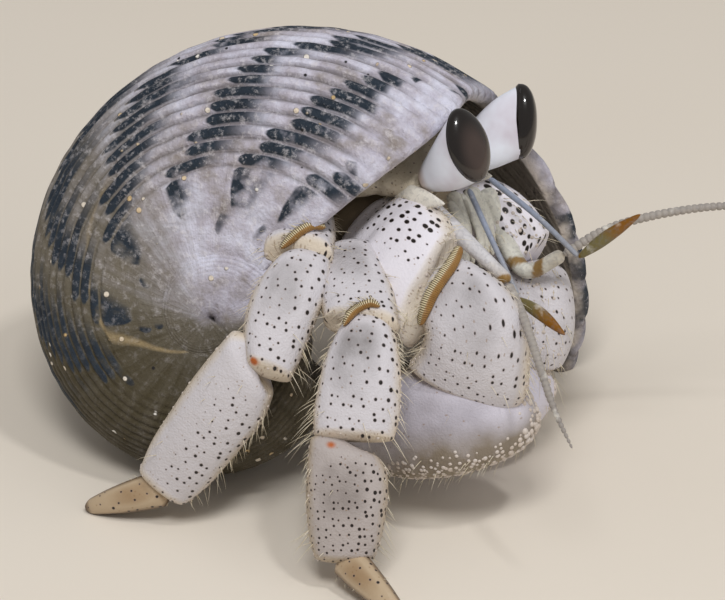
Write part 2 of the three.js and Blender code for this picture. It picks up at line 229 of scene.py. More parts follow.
def colour(hex_code):
    """An sRGB hex colour in linear light, with full cover."""
    parts = [int(hex_code[k:k + 2], 16) / 255 for k in (1, 3, 5)]
    return (*(p / 12.92 if p <= 0.04045 else ((p + 0.055) / 1.055) ** 2.4 for p in parts), 1)


def new_material(name, roughness, **sockets):
    """A plain material of one shader, with its tree and the shader to build on."""
    material = bpy.data.materials.new(name)
    material.use_nodes = True
    tree = material.node_tree
    shader = tree.nodes["Principled BSDF"]
    shader.inputs["Roughness"].default_value = roughness
    for key, value in sockets.items():
        shader.inputs[key.replace("_", " ")].default_value = value
    return material, tree, shader


print("mid grey in linear light:", round(colour("#808080")[0], 3))

# %% [markdown]
# ## Shell: form
# A nerite shell is a tube of almost round section that turns about an axis and widens by
# the same share for each turn, so it is a logarithmic spiral of rings. Where a ring faces
# the axis it is squarer, which closes the gap there. Low cords run along the spiral, and
# show as real relief because they catch the light. The same grid goes over the rounded
# lip and back inside as the smooth inner wall.

# %% Shell dimensions
SHELL = {
    "pole": (-5.28, -5.74, 9.69), "axis": (0.2123, -0.8830, 0.4186), "lip": (0.6069, 0.4549, 0.6517),
    "widening": 0.185, "tube_radius": 8.05, "tube_offset": 8.2, "tube_half_height": 8.4,
    "tube_drop": 8.5, "base_taper": 0.07, "inner_squareness": 4.5, "wall": 0.9,
}
RIM_START = -0.05  # radians of turn, where the lip stands
RIM_SWELLS = ((1.12, -82, 44), (-0.09, 2, 32), (-0.17, -28, 14))  # turn, at, width in degrees
CORDS = 66  # round the tube
CORD_RELIEF = 0.12  # mm, half the height of a cord
GROWTH_RELIEF = 0.02  # mm, the low steps of growth across the cords

coil_axis = unit(np.array(SHELL["axis"]))
lip_way = np.array(SHELL["lip"])
lip_way = unit(lip_way - coil_axis * (lip_way @ coil_axis))
across_lip = np.cross(coil_axis, lip_way)
print("one turn widens the shell", round(math.exp(2 * math.pi * SHELL["widening"]), 2), "times")


# %% Spiral surface
def on_shell(turn, around, inset):
    """Points in mm on the spiral tube, this far in mm below its plain surface."""
    size = np.exp(SHELL["widening"] * turn)
    squareness = np.where(np.cos(around) < 0, SHELL["inner_squareness"], 2)
    outward = signed_power(np.cos(around), 2 / squareness)
    upward = signed_power(np.sin(around), 2 / squareness)
    half_width = size * SHELL["tube_radius"] * (1 + SHELL["base_taper"] * upward) - inset
    half_height = size * SHELL["tube_half_height"] - inset
    radius = size * SHELL["tube_offset"] + outward * half_width
    height = upward * half_height - size * SHELL["tube_drop"]
    return (np.array(SHELL["pole"]) + lip_way * (radius * np.cos(turn))[..., None]
            - across_lip * (radius * np.sin(turn))[..., None] + coil_axis * height[..., None])


def rim_turn(around):
    """The turn at which the rim stands, all round the tube."""
    total = np.full_like(around, RIM_START)
    for turn, at, width in RIM_SWELLS:
        away = (np.degrees(around) - at + 180) % 360 - 180
        total += turn * np.exp(-((away / width) ** 2))
    return total


def cord_relief(turn, around):
    """mm out of the plain surface: rounded cords with narrow grooves, and growth steps."""
    size = np.exp(SHELL["widening"] * turn)
    phase = around / (2 * np.pi) * CORDS
    across = np.abs(phase - np.floor(phase) - 0.5) * 2
    cords = 1 - 2 * across**2.6
    fade = 0.15 + 0.85 * smooth(1.75, 1.05, around) * smooth(-2.6, -1.6, around)
    growth = np.sin(turn * 38 + 1.5 * np.sin(turn * 11) + 0.5 * np.cos(around * 2))
    return CORD_RELIEF * fade * size * cords + GROWTH_RELIEF * growth * size


print("rim turns, radians:", rim_turn(np.radians([-90, 0, 90])).round(2))


# %% Grids on the spiral
def rounds(sides, count=None):
    """Angles round the tube, from -180 degrees up."""
    return (np.arange(count or sides) / sides * 2 - 1) * np.pi


def shell_grid(turns_of, rings, sides):
    """Turns and angles of a grid, whose turns follow from the share along it."""
    around = np.broadcast_to(rounds(sides), (rings, sides))
    return turns_of(np.linspace(0, 1, rings)[:, None], around), around


def spiral_uv(turn, sides):
    """The flat map of the shell: the turn along the spiral and the number of the cord."""
    closed = np.concatenate([turn, turn[:, :1]], 1)
    around = np.broadcast_to(rounds(sides, sides + 1), closed.shape)
    return np.stack([closed, around * CORDS / (2 * np.pi)], -1)


print("the flat map is", np.ptp(spiral_uv(np.zeros((1, 4)), 4)[..., 1]), "cords wide")


# %% Last whorl, lip and inner wall
SIDES = 330  # five for each cord
SPIRE_ROWS, WHORL_ROWS, LIP_ROWS, INNER_ROWS = 61, 175, 5, 34
INNER_END = -1.75  # radians of turn, where the inner wall ends
turn, around = shell_grid(lambda s, a: -np.pi + s * (rim_turn(a) + np.pi), WHORL_ROWS, SIDES)
outer = on_shell(turn, around, -cord_relief(turn, around))
over_lip = np.arange(1, LIP_ROWS + 1)[:, None] / (LIP_ROWS + 1) * np.ones(SIDES)
lip_turn = turn[-1:] + 0.03 * np.sin(over_lip * np.pi)
lip_inset = SHELL["wall"] * 0.5 * (1 - np.cos(over_lip * np.pi))
lip_around = np.broadcast_to(rounds(SIDES), lip_turn.shape)
lip = on_shell(lip_turn, lip_around, lip_inset - cord_relief(lip_turn, lip_around) * (1 - over_lip))
inward, inside = shell_grid(lambda s, a: rim_turn(a) - s * (rim_turn(a) - INNER_END), INNER_ROWS, SIDES)
inner = on_shell(inward, inside, SHELL["wall"])
print("cord spacing at the lip:", round(2 * np.pi * SHELL["tube_radius"] / CORDS, 2), "mm")

# %% [markdown]
# ## Shell: finish
# The shell is lime with a thin worn skin. It is lilac-white where it is clean, and tan and
# olive towards its base, away from the lip, partly stain and partly painted shade. The
# grooves between the cords are painted darker as painted shade, and the far, lower part of
# the lip is painted a mottled dark grey as painted shade. Each cord carries blue-black
# dashes. A dash starts with a blunt dark head and thins into a grey-brown tail, and the
# heads line up in zigzag columns. A picture of the pattern could be painted, but it would
# not follow the whorls.
# Here it is worked out from two numbers in the flat map, the turn along the spiral and
# the number of the cord. Chalk, grains of sand and black specks, 0.1 to 0.3 mm across,
# lie over it.

# %% Places and noises on the shell
shell_lime, tree, shader = new_material("worn shell lime", 0.62)
spiral = add(tree, "ShaderNodeUVMap", uv_map="Spiral")
split = add(tree, "ShaderNodeSeparateXYZ", {0: spiral}, out=None)
turn_at, cord_at = split.outputs[0], split.outputs[1]
place_at = add(tree, "ShaderNodeTexCoord", out="Object")
wander, patches, worn, dark_shade, chalk, mottle, fuzz = (
    add(tree, "ShaderNodeTexNoise", {"Vector": place_at, "Scale": scale, "Detail": detail,
                                     "Roughness": rough})
    for scale, detail, rough in (
        (260.0, 3.0, 0.5),  # slow bends of the dashes' rows
        (130.0, 1.0, 0.5),  # fields of long and of short dashes, 8 mm across
        (420.0, 5.0, 0.65),  # wear of the ground
        (900.0, 3.0, 0.5),  # wear of the dark dashes
        (2600.0, 4.0, 0.75),  # chalk, in flecks of 0.4 mm and less
        (900.0, 2.0, 0.5),  # mottling of the far lip
        (5200.0, 3.0, 0.5),  # roughness, in grains of 0.2 mm
    )
)
clean, back, aged_and_shaded, rim, far_lip_shade, hollow, near_lip = (
    add(tree, "ShaderNodeAttribute", out="Fac", attribute_name=name)
    for name in ("clean", "back", "aged_and_shaded", "rim", "far_lip_shade", "hollow", "near_lip")
)

# %% Where each dash stands
COLUMNS, OLD_COLUMNS = 2.35, 1.5  # dashes in a radian of turn, near the lip and further back
cord_line = add(tree, "ShaderNodeMath", {0: wander, 1: 0.5, 2: cord_at}, operation="MULTIPLY_ADD")
cord_line = add(tree, "ShaderNodeMath", {0: cord_line, 1: 0.25}, operation="SUBTRACT")
cord = add(tree, "ShaderNodeMath", {0: cord_line}, operation="FLOOR")
beside = cord_line  # 0 on a cord's middle line, 1 in the groove
for operation, by in (("FRACT", 0), ("SUBTRACT", 0.5), ("ABSOLUTE", 0), ("MULTIPLY", 2)):
    beside = add(tree, "ShaderNodeMath", {0: beside, 1: by}, operation=operation)
stray = add(tree, "ShaderNodeTexWhiteNoise", {"W": cord}, out="Value", noise_dimensions="1D")
zigzag = add(tree, "ShaderNodeMath", {0: cord, 1: 7}, operation="PINGPONG")
slant = add(tree, "ShaderNodeMath", {0: cord, 1: 0.1125, 2: 0.775}, operation="MULTIPLY_ADD")
zigzag = add(tree, "ShaderNodeMath", {0: zigzag, 1: 0.03, 2: slant}, operation="MULTIPLY_ADD")
zigzag = add(tree, "ShaderNodeMath", {0: stray, 1: 0.2, 2: zigzag}, operation="MULTIPLY_ADD")
young, old = (  # they meet one radian behind the lip
    add(tree, "ShaderNodeMath", {0: turn_at, 1: each, 2: each - COLUMNS}, operation="MULTIPLY_ADD")
    for each in (COLUMNS, OLD_COLUMNS)
)
column_line = add(tree, "ShaderNodeMath", {0: young, 1: old}, operation="MAXIMUM")
column_line = add(tree, "ShaderNodeMath", {0: column_line, 1: zigzag}, operation="ADD")
column, behind_head = (
    add(tree, "ShaderNodeMath", {0: column_line}, operation=part) for part in ("FLOOR", "FRACT")
)
key = add(tree, "ShaderNodeCombineXYZ", {0: cord, 1: column})
chance = add(tree, "ShaderNodeTexWhiteNoise", {"Vector": key}, out="Value", noise_dimensions="2D")
print("dash columns every", round(1 / COLUMNS, 2), "radians near the lip")

# %% Shape of a dash
length = add(tree, "ShaderNodeMath", {0: chance, 1: 0.4, 2: -0.18}, operation="MULTIPLY_ADD")
length = add(tree, "ShaderNodeMath", {0: patches, 1: 1.3, 2: length}, operation="MULTIPLY_ADD")
length = add(tree, "ShaderNodeMath", {0: clean, 1: -0.75, 2: length}, operation="MULTIPLY_ADD")
length = add(tree, "ShaderNodeMath", {0: length, 1: 0.02}, operation="MAXIMUM")
run = add(tree, "ShaderNodeMath", {0: behind_head, 1: length}, operation="DIVIDE")
tail, head, girth = (
    add(tree, "ShaderNodeMapRange", {"Value": value, "From Min": none, "From Max": full, "To Min": low,
                                     "To Max": high}, interpolation_type="SMOOTHSTEP")
    for value, none, full, low, high in (
        (run, 1.15, 0.55, 0, 1), (behind_head, 0, 0.05, 0, 1), (behind_head, 0, 0.12, 0.3, 0.92))
)
girth = add(tree, "ShaderNodeMath", {0: run, 1: -0.2, 2: girth}, operation="MULTIPLY_ADD")
body = add(tree, "ShaderNodeMath", {0: girth, 1: beside}, operation="SUBTRACT")
body = add(tree, "ShaderNodeMapRange", {"Value": body, "From Min": -0.1, "From Max": 0.18},
           interpolation_type="SMOOTHSTEP")
wear = add(tree, "ShaderNodeMath", {0: clean, 1: 0.3, 2: dark_shade}, operation="MULTIPLY_ADD")
kept = add(tree, "ShaderNodeMapRange", {"Value": wear, "From Min": 0.84, "From Max": 0.6})
dash = tail
for share in (head, body, kept):
    dash = add(tree, "ShaderNodeMath", {0: dash, 1: share}, operation="MULTIPLY")

# %% Lime ground, painted shade in the grooves, and smoky tails
ground = add(tree, "ShaderNodeValToRGB", {"Fac": worn}, out=None)
ground.color_ramp.elements.new(0.48)
for stop, (position, tone) in zip(ground.color_ramp.elements, ((0.33, "#948b88"), (0.48, "#b9b4c1"),
                                                               (0.62, "#d6d6e6"))):
    stop.position, stop.color = position, colour(tone)
# Painted shade: the grooves between the cords are painted a darker grey where the cords stand clear, and the
# same mask sinks them in the bump.
shaded_grooves = add(tree, "ShaderNodeMapRange", {"Value": beside, "From Min": 0.5, "From Max": 1, "To Max": 0.85})
corded = add(tree, "ShaderNodeMapRange", {"Value": clean, "From Min": 0.9, "From Max": 0.1})
shaded_grooves = add(tree, "ShaderNodeMath", {0: shaded_grooves, 1: corded}, operation="MULTIPLY")
smoky = add(tree, "ShaderNodeMapRange", {"Value": behind_head, "From Min": 1, "From Max": 0})
for share in (patches, body, back, 1.8):
    smoky = add(tree, "ShaderNodeMath", {0: smoky, 1: share}, operation="MULTIPLY", use_clamp=True)

# %% Age and painted shade: tan, olive and a healed scar
streak_uv = add(tree, "ShaderNodeMapping", {"Vector": spiral, "Scale": (9, 0.12, 1)})
streaks = add(tree, "ShaderNodeTexNoise", {"Vector": streak_uv, "Scale": 1.0, "Detail": 3.0})
# Tan and olive, partly stain and partly painted shade, spread along streaks away from the lip.
stain = add(tree, "ShaderNodeMath", {0: streaks, 1: 0.5, 2: aged_and_shaded}, operation="MULTIPLY_ADD")
tan_worn_and_shaded = add(tree, "ShaderNodeMapRange", {"Value": stain, "From Min": 0.3, "From Max": 0.95,
                                            "To Max": 0.95})
olive = add(tree, "ShaderNodeMapRange", {"Value": stain, "From Min": 0.6, "From Max": 1.45})
scar = add(tree, "ShaderNodeMath", {0: cord_line, 1: 0.3, 2: turn_at}, operation="MULTIPLY_ADD")
scar = add(tree, "ShaderNodeMath", {0: scar, 1: 2.25}, operation="SUBTRACT")
scar = add(tree, "ShaderNodeMath", {0: scar}, operation="ABSOLUTE")
scar = add(tree, "ShaderNodeMapRange", {"Value": scar, "From Min": 0.09, "From Max": 0.02, "To Max": 0.8})
scar = add(tree, "ShaderNodeMath", {0: scar, 1: olive}, operation="MULTIPLY")
base = ground.outputs[0]
for share, tone in ((shaded_grooves, "#6a6466"), (smoky, "#7b7678"), (tan_worn_and_shaded, "#7e7769"), (olive, "#433b26"),
                    (scar, "#a8946f")):
    base = add(tree, "ShaderNodeMix", {0: share, 6: base, 7: colour(tone)}, out=2, data_type="RGBA")
print("ground:", len(ground.color_ramp.elements), "tones of lime under five of wear")

# %% Chalk, sand and black specks
chalk = add(tree, "ShaderNodeMapRange", {"Value": chalk, "From Min": 0.52, "From Max": 0.72, "To Max": 0.55})
clear = add(tree, "ShaderNodeMath", {0: olive, 1: -0.95, 2: 1}, operation="MULTIPLY_ADD")
chalk = add(tree, "ShaderNodeMath", {0: chalk, 1: clear}, operation="MULTIPLY")
grains = add(tree, "ShaderNodeTexVoronoi", {"Vector": place_at, "Scale": 1650.0}, out=None)  # 0.6 mm apart
grain_pick = add(tree, "ShaderNodeSeparateXYZ", {0: grains.outputs["Color"]}, out=None)
sand_here, black = (
    add(tree, "ShaderNodeMapRange", {"Value": grains.outputs["Distance"], "From Min": rim_at,
                                     "From Max": full_at})
    for rim_at, full_at in ((0.26, 0.2), (0.17, 0.11))
)
sandy = add(tree, "ShaderNodeMath", {0: grain_pick.outputs[0], 1: 0.9}, operation="GREATER_THAN")
dark_one = add(tree, "ShaderNodeMath", {0: grain_pick.outputs[0], 1: 0.035}, operation="LESS_THAN")
sand_here = add(tree, "ShaderNodeMath", {0: sand_here, 1: sandy}, operation="MULTIPLY")
black = add(tree, "ShaderNodeMath", {0: black, 1: dark_one}, operation="MULTIPLY")

# %% Lip and hollow
rim_tint = add(tree, "ShaderNodeMapRange", {"Value": rim, "From Min": 0.3, "From Max": 0.75, "To Max": 0.85})
mottle = add(tree, "ShaderNodeMapRange", {"Value": mottle, "From Min": 0.42, "From Max": 0.62})
inside_tint = add(tree, "ShaderNodeMapRange", {"Value": hollow, "From Min": 0.45, "From Max": 0.9})
bars = add(tree, "ShaderNodeMapRange", {"Value": beside, "From Min": 0.75, "From Max": 0.35})
for share in (near_lip, chance):
    bars = add(tree, "ShaderNodeMath", {0: bars, 1: share}, operation="MULTIPLY")
dark, sand_tint, mottled_lip_shade, inner_lime = (
    add(tree, "ShaderNodeMix", {0: share, 6: colour(one), 7: colour(other)}, out=2, data_type="RGBA")
    for share, one, other in (
        (dark_shade, "#0e1622", "#2c3a48"), (grain_pick.outputs[1], "#f0ece6", "#cfae74"),
        (mottle, "#565150", "#bfb4a8"), (bars, "#8d8478", "#1f2226"))
)
# Painted shade: the lip's far, lower part is painted a mottled dark grey.
lip_lime = add(tree, "ShaderNodeMix", {0: far_lip_shade, 6: colour("#d8cec3"), 7: mottled_lip_shade}, out=2, data_type="RGBA")
marked = base
for share, tint in ((dash, dark), (chalk, colour("#e2dde0")), (sand_here, sand_tint),
                    (black, colour("#1d1c1f")), (rim_tint, lip_lime), (inside_tint, inner_lime)):
    marked = add(tree, "ShaderNodeMix", {0: share, 6: marked, 7: tint}, out=2, data_type="RGBA")
tree.links.new(marked, shader.inputs["Base Color"])

# %% Relief of the lime
growth_uv = add(tree, "ShaderNodeMapping", {"Vector": spiral, "Scale": (46, 0.35, 1)})
growth = add(tree, "ShaderNodeTexNoise", {"Vector": growth_uv, "Scale": 1.0, "Detail": 4.0})
relief = fuzz
for part, height in ((growth, 0.5), (sand_here, 1.2), (shaded_grooves, -0.6)):
    relief = add(tree, "ShaderNodeMath", {0: part, 1: height, 2: relief}, operation="MULTIPLY_ADD")
bump = add(tree, "ShaderNodeBump", {"Height": relief, "Strength": 0.75, "Distance": 0.14 * MM})
tree.links.new(bump, shader.inputs["Normal"])
print("shell lime:", len(tree.nodes), "nodes")

# %% [markdown]
# ## Shell: one closed surface
# The rows run from the tip of the spire to the rim, over the lip, and back inside to a
# blind end. Where an early whorl would stand in the hollow of the last one, its points are
# moved out into the thickness of the wall, as a snail lays new shell over the old.

# %% Keep early whorls out of the hollow
HOLLOW = (-1.6, 1.2)  # radians of turn between which the last whorl is hollow


def out_of_hollow(points, turn):
    """Moves points of an early whorl that lie in the last whorl's hollow into its wall."""
    later = turn + 2 * np.pi
    size = np.exp(SHELL["widening"] * later)
    from_pole = points - np.array(SHELL["pole"])
    height = from_pole @ coil_axis
    flat = from_pole - height[..., None] * coil_axis
    radius = np.linalg.norm(flat, axis=-1) + 1e-9
    x = radius - size * SHELL["tube_offset"]
    y = height + size * SHELL["tube_drop"]
    upward = np.clip(y / (size * SHELL["tube_half_height"]), -1, 1)
    half_width = size * SHELL["tube_radius"] * (1 + SHELL["base_taper"] * upward) - SHELL["wall"] / 2
    half_height = size * SHELL["tube_half_height"] - SHELL["wall"] / 2
    power = np.where(x < 0, SHELL["inner_squareness"], 2)
    depth = np.abs(x / half_width) ** power + np.abs(y / half_height) ** power
    grow = np.where(depth < 1, np.maximum(depth, 0.02) ** (-1 / power), 1)
    grow = np.where((later > HOLLOW[0]) & (later < HOLLOW[1]), grow, 1)
    new_radius = size * SHELL["tube_offset"] + x * grow
    new_height = y * grow - size * SHELL["tube_drop"]
    way = flat / radius[..., None]
    moved = np.array(SHELL["pole"]) + way * new_radius[..., None] + coil_axis * new_height[..., None]
    return np.where((grow > 1)[..., None], moved, points)


print("hollow over", round(math.degrees(HOLLOW[1] - HOLLOW[0])), "degrees")

# %% Rows from the spire's tip to the blind end
SPIRE_START = -3.6 * np.pi  # radians of turn
spire_turn = np.linspace(SPIRE_START, -np.pi, SPIRE_ROWS + 1)[:-1, None] * np.ones(SIDES)
spire_around = np.broadcast_to(rounds(SIDES), spire_turn.shape)
spire = on_shell(spire_turn, spire_around, -cord_relief(spire_turn, spire_around))
spire = out_of_hollow(spire, spire_turn)
tip, blind_middle = (row.mean(axis=1, keepdims=True).repeat(SIDES, 1) for row in (spire[:1], inner[-1:]))
blind_rows = [inner[-1:] + (blind_middle - inner[-1:]) * k for k in (0.3, 0.7, 1.0)]
whole = np.concatenate([tip, spire, outer, lip, inner, *blind_rows])
whole_turn = np.concatenate([spire_turn[:1], spire_turn, turn, lip_turn, inward,
                             *[inward[-1:]] * len(blind_rows)])
whole_around = np.broadcast_to(rounds(SIDES), whole_turn.shape)
degrees = np.degrees(whole_around)
open_rows = np.zeros((1 + SPIRE_ROWS + WHORL_ROWS, SIDES))
hollow_rows = np.ones((INNER_ROWS + len(blind_rows), SIDES))
print("shell:", len(whole), "rows of", SIDES)

# %% Where the shell is clean, aged and painted with shade, or dark
clean_share = (
    1.1 * smooth(76, 106, degrees) * (1 - 0.4 * smooth(-1.4, -2.1, whole_turn))  # beside the spire
    + 1.2 * smooth(-2.9, -3.3, whole_turn)  # early whorls
    + 1.2 * smooth(-80, -112, degrees)  # base, towards the axis
    + 1.3 * smooth(-0.3, -0.1, whole_turn) * smooth(36, 14, np.abs(degrees - 48))  # behind the lip
)
folded = np.where(whole_turn > -np.pi, whole_turn, np.mod(whole_turn, 2 * np.pi) - 2 * np.pi)
# Stain and painted shade: the shell darkens away from the lip, less towards the axis.
aged_and_shaded_share = 0.62 * smooth(-0.8, -1.9, folded) + 0.5 * smooth(-1.9, -2.9, folded)  # away from the lip
aged_and_shaded_share *= smooth(-6.1, -4.9, folded)
aged_and_shaded_share *= 0.3 + np.where(whole_turn < -2 * np.pi, 0.45, 0.7) * smooth(138, 84, degrees)  # less inward
hollow_share = np.concatenate([open_rows, np.full((LIP_ROWS, SIDES), 0.4), hollow_rows])
near_lip_share = smooth(-0.32, -0.05, whole_turn - rim_turn(whole_around))
shell = grid_mesh("shell_surface", whole, "Spiral", spiral_uv(whole_turn, SIDES), {
    "rim": np.concatenate([open_rows, over_lip, hollow_rows]),
    "hollow": hollow_share,
    "clean": clean_share,
    "aged_and_shaded": aged_and_shaded_share,
    "back": smooth(-0.7, -1.5, whole_turn) * smooth(75, 40, np.abs(degrees)) + 0.15,
    "near_lip": np.where(hollow_share > 0.9, near_lip_share, 0),
    # painted shade on the far, lower part of the lip
    "far_lip_shade": smooth(5, -25, degrees),
}, shell_lime)
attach(shell, "root")
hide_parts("shell")
print("shell:", len(shell.data.polygons) * 2, "triangles")

# %% [markdown]
# ## Limbs: form
# Each segment is a tube of rounded, flattened section along its curve. Its broad side
# looks one way. The widths of its rear and front side may differ, and so may the places
# where the two sides start and end, which gives the lobes, slanted ends and straight
# margins of real plates. The ends run a little into the next segment, as one armour plate
# does under the rim of another.

# %% Ways and sides
OUT_RIGHT, OUT_LEFT = (0.46, -0.74, 0.49), (0.40, 0.80, 0.45)  # which way broad sides look


def read_sides(values, shares, aside):
    """Values along a segment. A pair of lists is for its rear and its front side."""
    if not isinstance(values[0], (list, tuple)):
        values = (values, values)
    rear, front = (read_curve(one, shares, False) for one in values)
    return np.where(aside > 0, rear, front)


print("widths at the middle:", read_sides(((1, 2), (3, 4)), np.array([0.5]), np.array([1, -1])).ravel())


# %% Limb surface
def limb_surface(spine, across, through, face, cuts=((0, 0), (0, 0)), squareness=2.3, flatness=2.7,
                 rings=90, sides=96, blunt=(0.4, 0.9), tip=None, relief=None):
    """Grids of a limb segment: its points in mm, flat coordinates in mm, and places on it.

    cuts: how far in mm the rear and front side run before the start and past the end.
    blunt: the rounding of the outline and of the thickness at the start; tip: at the end.
    """
    dense = np.linspace(0, 1, 400)
    walk = np.concatenate([[0], np.linalg.norm(np.diff(read_curve(spine, dense), axis=0), axis=1).cumsum()])
    total = walk[-1]
    angle = (np.arange(sides) / sides - 0.25) * 2 * np.pi
    cos, sin = np.cos(angle)[None], np.sin(angle)[None]
    q = np.linspace(0, 1, rings)
    q = (0.5 * q + 0.5 * (0.5 - 0.5 * np.cos(np.pi * q)))[:, None]
    rear_s = -cuts[0][0] + q * (total + cuts[0][0] + cuts[0][1])
    front_s = -cuts[1][0] + q * (total + cuts[1][0] + cuts[1][1])
    s = rear_s * (1 + cos) / 2 + front_s * (1 - cos) / 2
    t = np.interp(s, walk, dense).ravel()
    tangent = unit(read_curve(spine, np.clip(t + 5e-4, 0, 1)) - read_curve(spine, np.clip(t - 5e-4, 0, 1)))
    beyond = s.ravel() - np.clip(s.ravel(), 0, total)
    centre = read_curve(spine, t) + tangent * beyond[:, None]
    side = unit(np.cross(tangent, np.asarray(face, float)))
    normal = np.cross(side, tangent)
    span = (rear_s[-1] - rear_s[0] + front_s[-1] - front_s[0]) / 2
    caps = []
    for k in (0, 1):
        start = np.clip(q * span / blunt[k], 0, 1)
        end = np.clip((1 - q) * span / (tip or blunt)[k], 0, 1)
        caps.append(((1 - (1 - start) ** 2) * (1 - (1 - end) ** 2)) ** 0.5)
    a = read_sides(across, q[:, 0], cos) * signed_power(cos, 2 / squareness) * caps[0]
    b = read_sides(through, q[:, 0], cos) * signed_power(sin, 2 / flatness) * caps[1]
    shape = (rings, sides)
    points = (centre + a.reshape(-1, 1) * side + b.reshape(-1, 1) * normal).reshape(*shape, 3)
    if relief is not None:
        outward = unit(points - centre.reshape(*shape, 3) + 1e-9)
        points = points + outward * (relief(q, angle[None], s) * caps[1])[..., None]
    closed = np.concatenate([points, points[:, :1]], 1)
    steps = np.linalg.norm(np.diff(closed, axis=1), axis=2)
    around = np.concatenate([np.zeros((rings, 1)), steps.cumsum(1)], 1)
    around -= around[:, sides // 2][:, None]
    flat = np.stack([around, np.concatenate([s, s[:, :1]], 1)], -1)
    return {"points": points, "uv": flat, "share": np.broadcast_to(q, shape),
            "aside": np.broadcast_to(cos, shape), "outer": np.broadcast_to(sin, shape)}


# %% [markdown]
# ## Plates: finish
# The limbs are armoured with limy cuticle, lilac-white with a grey bloom in the middle of
# each plate. Over it stand small black pits, each the root of a bristle, about 0.7 mm
# apart and 0.15 to 0.25 mm across. They are larger towards the front margin. The margins
# are cream with brown freckles. A Voronoi pattern on the plate's flat coordinates in
# millimetres gives even spacing with round pits.

# %% Limy cuticle
def cuticle(name, base_hex, grey_hex, margin_hex, pit_spacing, pit_size, roughness, bump_height):
    """Limy armour with freckles and bristle pits. Sizes are in mm."""
    material, tree, shader = new_material(name, roughness)
    flat = add(tree, "ShaderNodeUVMap", uv_map="Plate")
    spot = add(tree, "ShaderNodeTexCoord", out="Object")
    cloud, lumps, grit = (
        add(tree, "ShaderNodeTexNoise", {"Vector": spot, "Scale": scale, "Detail": detail}, out=0)
        for scale, detail in ((420.0, 4.0), (900.0, 2.0), (9500.0, 2.0))
    )
    bloom, margin, strength, joint, grime_and_shade = (
        add(tree, "ShaderNodeAttribute", out="Fac", attribute_name=attribute)
        for attribute in ("bloom", "margin", "pits", "joint", "grime_and_shade")
    )
    bloom = add(tree, "ShaderNodeMath", {0: bloom, 1: cloud}, operation="MULTIPLY")
    bloom = add(tree, "ShaderNodeMapRange", {"Value": bloom, "From Min": 0.15, "From Max": 0.6})
    edge = add(tree, "ShaderNodeMath", {0: cloud, 1: 0.5, 2: margin}, operation="MULTIPLY_ADD")
    edge = add(tree, "ShaderNodeMapRange", {"Value": edge, "From Min": 0.72, "From Max": 1.25})
    freckles, pits = (
        add(tree, "ShaderNodeTexVoronoi", {"Vector": flat, "Scale": scale, "Randomness": stray}, out=None,
            voronoi_dimensions="2D")
        for scale, stray in ((5.2, 1.0), (1 / pit_spacing, 0.62))
    )
    freckle_pick, pit_pick = (
        add(tree, "ShaderNodeSeparateXYZ", {0: each.outputs["Color"]}) for each in (freckles, pits)
    )
    speck = add(tree, "ShaderNodeMapRange", {"Value": freckles.outputs["Distance"], "From Min": 0.3,
                                             "From Max": 0.12, "To Max": 0.55})
    chosen = add(tree, "ShaderNodeMath", {0: edge, 1: 0.4, 2: 0.05}, operation="MULTIPLY_ADD")
    chosen = add(tree, "ShaderNodeMath", {0: freckle_pick, 1: chosen}, operation="LESS_THAN")
    speck = add(tree, "ShaderNodeMath", {0: speck, 1: chosen}, operation="MULTIPLY")
    reach = add(tree, "ShaderNodeMath", {0: pit_pick, 1: 0.45, 2: 0.65}, operation="MULTIPLY_ADD")
    for share in (strength, pit_size / pit_spacing):
        reach = add(tree, "ShaderNodeMath", {0: reach, 1: share}, operation="MULTIPLY")
    from_rim = add(tree, "ShaderNodeMath", {0: reach, 1: pits.outputs["Distance"]}, operation="SUBTRACT")
    real = add(tree, "ShaderNodeMath", {0: strength, 1: 0.12}, operation="GREATER_THAN")
    halo, pit = (
        add(tree, "ShaderNodeMapRange", {"Value": from_rim, "From Min": low, "From Max": high,
                                         "To Max": most})
        for low, high, most in ((-0.09, 0.02, 0.45), (-0.02, 0.03, 1.0))
    )
    halo, pit = (
        add(tree, "ShaderNodeMath", {0: each, 1: real}, operation="MULTIPLY") for each in (halo, pit)
    )
    # Grime and painted shade: the claws are painted a darker olive towards their lower edge.
    grime_and_shade = add(tree, "ShaderNodeMath", {0: cloud, 1: grime_and_shade}, operation="MULTIPLY")
    grime_and_shade = add(tree, "ShaderNodeMapRange", {"Value": grime_and_shade, "From Min": 0.02, "From Max": 0.5,
                                             "To Max": 0.9})
    tint = colour(base_hex)
    for share, tone in ((bloom, grey_hex), (edge, margin_hex), (speck, "#8d6f4e"), (halo, "#a08a84"),
                        (pit, "#1c1612"), (joint, "#b4590a"), (grime_and_shade, "#786a52")):
        tint = add(tree, "ShaderNodeMix", {0: share, 6: tint, 7: colour(tone)}, out=2, data_type="RGBA")
    tree.links.new(tint, shader.inputs["Base Color"])
    relief = grit
    for part, height in ((lumps, 2.0), (pit, -1.7)):
        relief = add(tree, "ShaderNodeMath", {0: part, 1: height, 2: relief}, operation="MULTIPLY_ADD")
    bump = add(tree, "ShaderNodeBump", {"Height": relief, "Strength": 0.48, "Distance": bump_height * MM})
    tree.links.new(bump, shader.inputs["Normal"])
    return material


